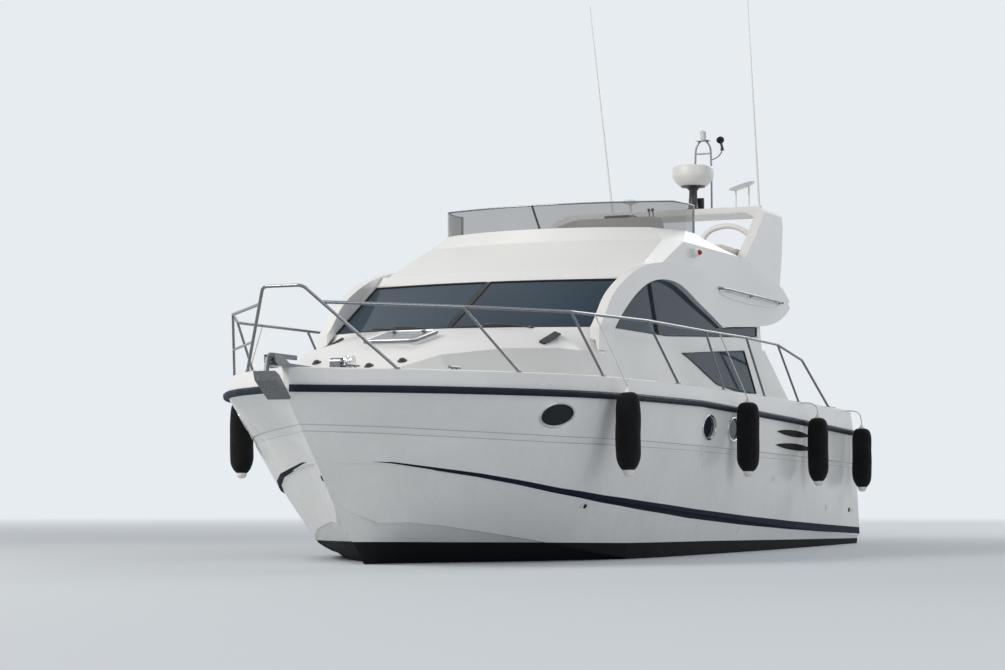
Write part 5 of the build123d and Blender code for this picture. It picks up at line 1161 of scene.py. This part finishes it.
def pad(size, name, material, at, channels=0, body="boat"):
    """A crowned pad with piped edges, and so many sewn channels across its length."""
    bare()
    bpy.ops.mesh.primitive_cube_add(size=2.0)
    form = bpy.context.object
    bpy.ops.object.mode_set(mode="EDIT")
    bpy.ops.mesh.select_all(action="SELECT")
    bpy.ops.mesh.subdivide(number_cuts=net_cuts)
    bpy.ops.object.mode_set(mode="OBJECT")
    swell = min(0.010, size[2] * 0.12)
    half = Vector((size[0] / 2 - swell, size[1] / 2 - swell, size[2] / 2))
    corner, pull = 0.045, 0.010

    def sewn(u, v, w):
        """Where a point of the net lies on the finished pad."""
        x = half.x * u - pull * u * (1 - v * v)
        y = half.y * v - pull * v * (1 - u * u)
        near = max(0.0, 1.0 - (half.x - abs(x)) / corner)
        beside = max(0.0, 1.0 - (half.y - abs(y)) / corner)
        if near and beside:
            inside = 1 - max(near, beside) / (near**2 + beside**2) ** 0.5
            x -= corner * near * inside * (1 if u > 0 else -1)
            y -= corner * beside * inside * (1 if v > 0 else -1)
        crown = 0.70 + 0.30 * ((1 - u**4) * (1 - v**4)) ** 0.5
        z = half.z * w * (crown if w > 0 else 0.90 + 0.10 * crown)
        bulge = swell * (1 - w * w)
        if abs(u) > 0.999:
            x += bulge * (1 if u > 0 else -1)
        if abs(v) > 0.999:
            y += bulge * (1 if v > 0 else -1)
        if channels and w > 0.999:
            for number in range(1, channels + 1):
                gap = abs(x - half.x * (2 * number / (channels + 1) - 1))
                z -= 0.35 * half.z * max(0.0, 1 - gap / 0.035) ** 2
        return Vector((x, y, z))

    for vertex in form.data.vertices:
        vertex.co = sewn(*vertex.co)
    forms = [form]
    around = []
    for cu, cv, du, dv in ((1, -1, 0, 1), (1, 1, -1, 0), (-1, 1, 0, -1), (-1, -1, 1, 0)):
        around += [(cu + du * 2 * step / edge_steps, cv + dv * 2 * step / edge_steps) for step in range(edge_steps)]
    for w in (1.0, -1.0):
        forms.append(pipe([sewn(u, v, w) for u, v in around], piping_radius, closed=True))
    settled(joined(forms), name, body, material, at=at, angle=60.0)


print("a pad's net has", 6 * (net_cuts + 1) ** 2, "faces")

# %% Flybridge and cockpit pads
pads = 0
for number, (x, y, length, width) in enumerate(((-1.15, 0.70, 0.48, 0.88), (-2.325, 1.02, 1.03, 0.58),
                                                (-3.26, 1.02, 0.62, 0.58), (-0.70, -0.97, 1.18, 0.58)), 1):
    name = f"flybridge_pad_{number}"
    pad((length - 0.012, width - 0.012, 0.084), name, vinyl, at_place(x, y, 3.524),
        channels=0 if length < 1 else 1)
    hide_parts("flybridge_cushions")
    pads += 1
arm_x = -2.895
arm = [(arm_x, y, z) for y, z in ((0.775, 3.475), (0.735, 3.56), (0.669, 3.664), (0.715, 3.79), (0.812, 3.867),
                                  (1.017, 3.906), (1.20, 3.85), (1.334, 3.734), (1.315, 3.62), (1.265, 3.475))]
feet = [block((0.10, 0.11, 0.018), 0.006, (arm_x, y, 3.487)) for y in (0.785, 1.26)]
settled(joined([pipe(arm, 0.034, smooth=6), *feet]), "seat_arm_loop", "boat", gear_white)
for number, y in enumerate((-0.455, 0.310, 1.075), 1):
    name = f"cockpit_seat_pad_{number}"
    pad((0.43, 0.755, 0.084), name, vinyl, at_place(-4.62, y, 1.404))
    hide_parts("cockpit_cushion")
    name = f"cockpit_back_pad_{number}"
    upright = stand((-4.797, y, 1.566), (0.0, 1.0, 0.0), (1.0, 0.0, 0.0))
    pad((0.755, 0.222, 0.080), name, vinyl, upright)
    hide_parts("cockpit_cushion")
    pads += 2
print("flybridge and cockpit pads:", pads)

# %% Helm seat and settee
pad((0.37, 0.63, 0.115), "helm_seat_pad", leather, at_place(1.055, -0.90, 1.512), channels=1)
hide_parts("helm_seat")
back = stand((0.735, -0.90, 2.075), (0.0, 1.0, 0.0), (1.08, 0.0, 0.11))
pad((0.63, 1.05, 0.105), "helm_back_pad", leather, back, channels=2)
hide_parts("helm_seat")
stool = joined([
    block((0.155, 0.60, 0.44), 0.012, (0.98, -0.90, 1.211)),
    block((0.24, 0.52, 0.030), 0.010, (1.02, -0.90, 1.440)),
])
settled(stool, "helm_seat_box", "boat", beige_trim)
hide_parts("helm_seat")
box = joined([
    block((2.88, 0.60, 0.325), 0.012, (-0.85, 1.17, 1.1535)),
    block((2.88, 0.030, 0.56), 0.010, (-0.85, 1.462, 1.60)),
])
settled(box, "settee_box", "boat", beige_trim)
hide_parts("saloon_settee")
for number, x in enumerate((-1.815, -0.85, 0.115), 1):
    name = f"settee_seat_pad_{number}"
    pad((0.955, 0.50, 0.135), name, leather, at_place(x, 1.122, 1.388))
    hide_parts("saloon_settee")
    name = f"settee_back_pad_{number}"
    upright = stand((x, 1.395, 1.675), (1.0, 0.0, 0.0), (0.0, -1.0, 0.10))
    pad((0.955, 0.40, 0.10), name, leather, upright)
    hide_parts("saloon_settee")
    pads += 2
print("all pads:", pads + 2)
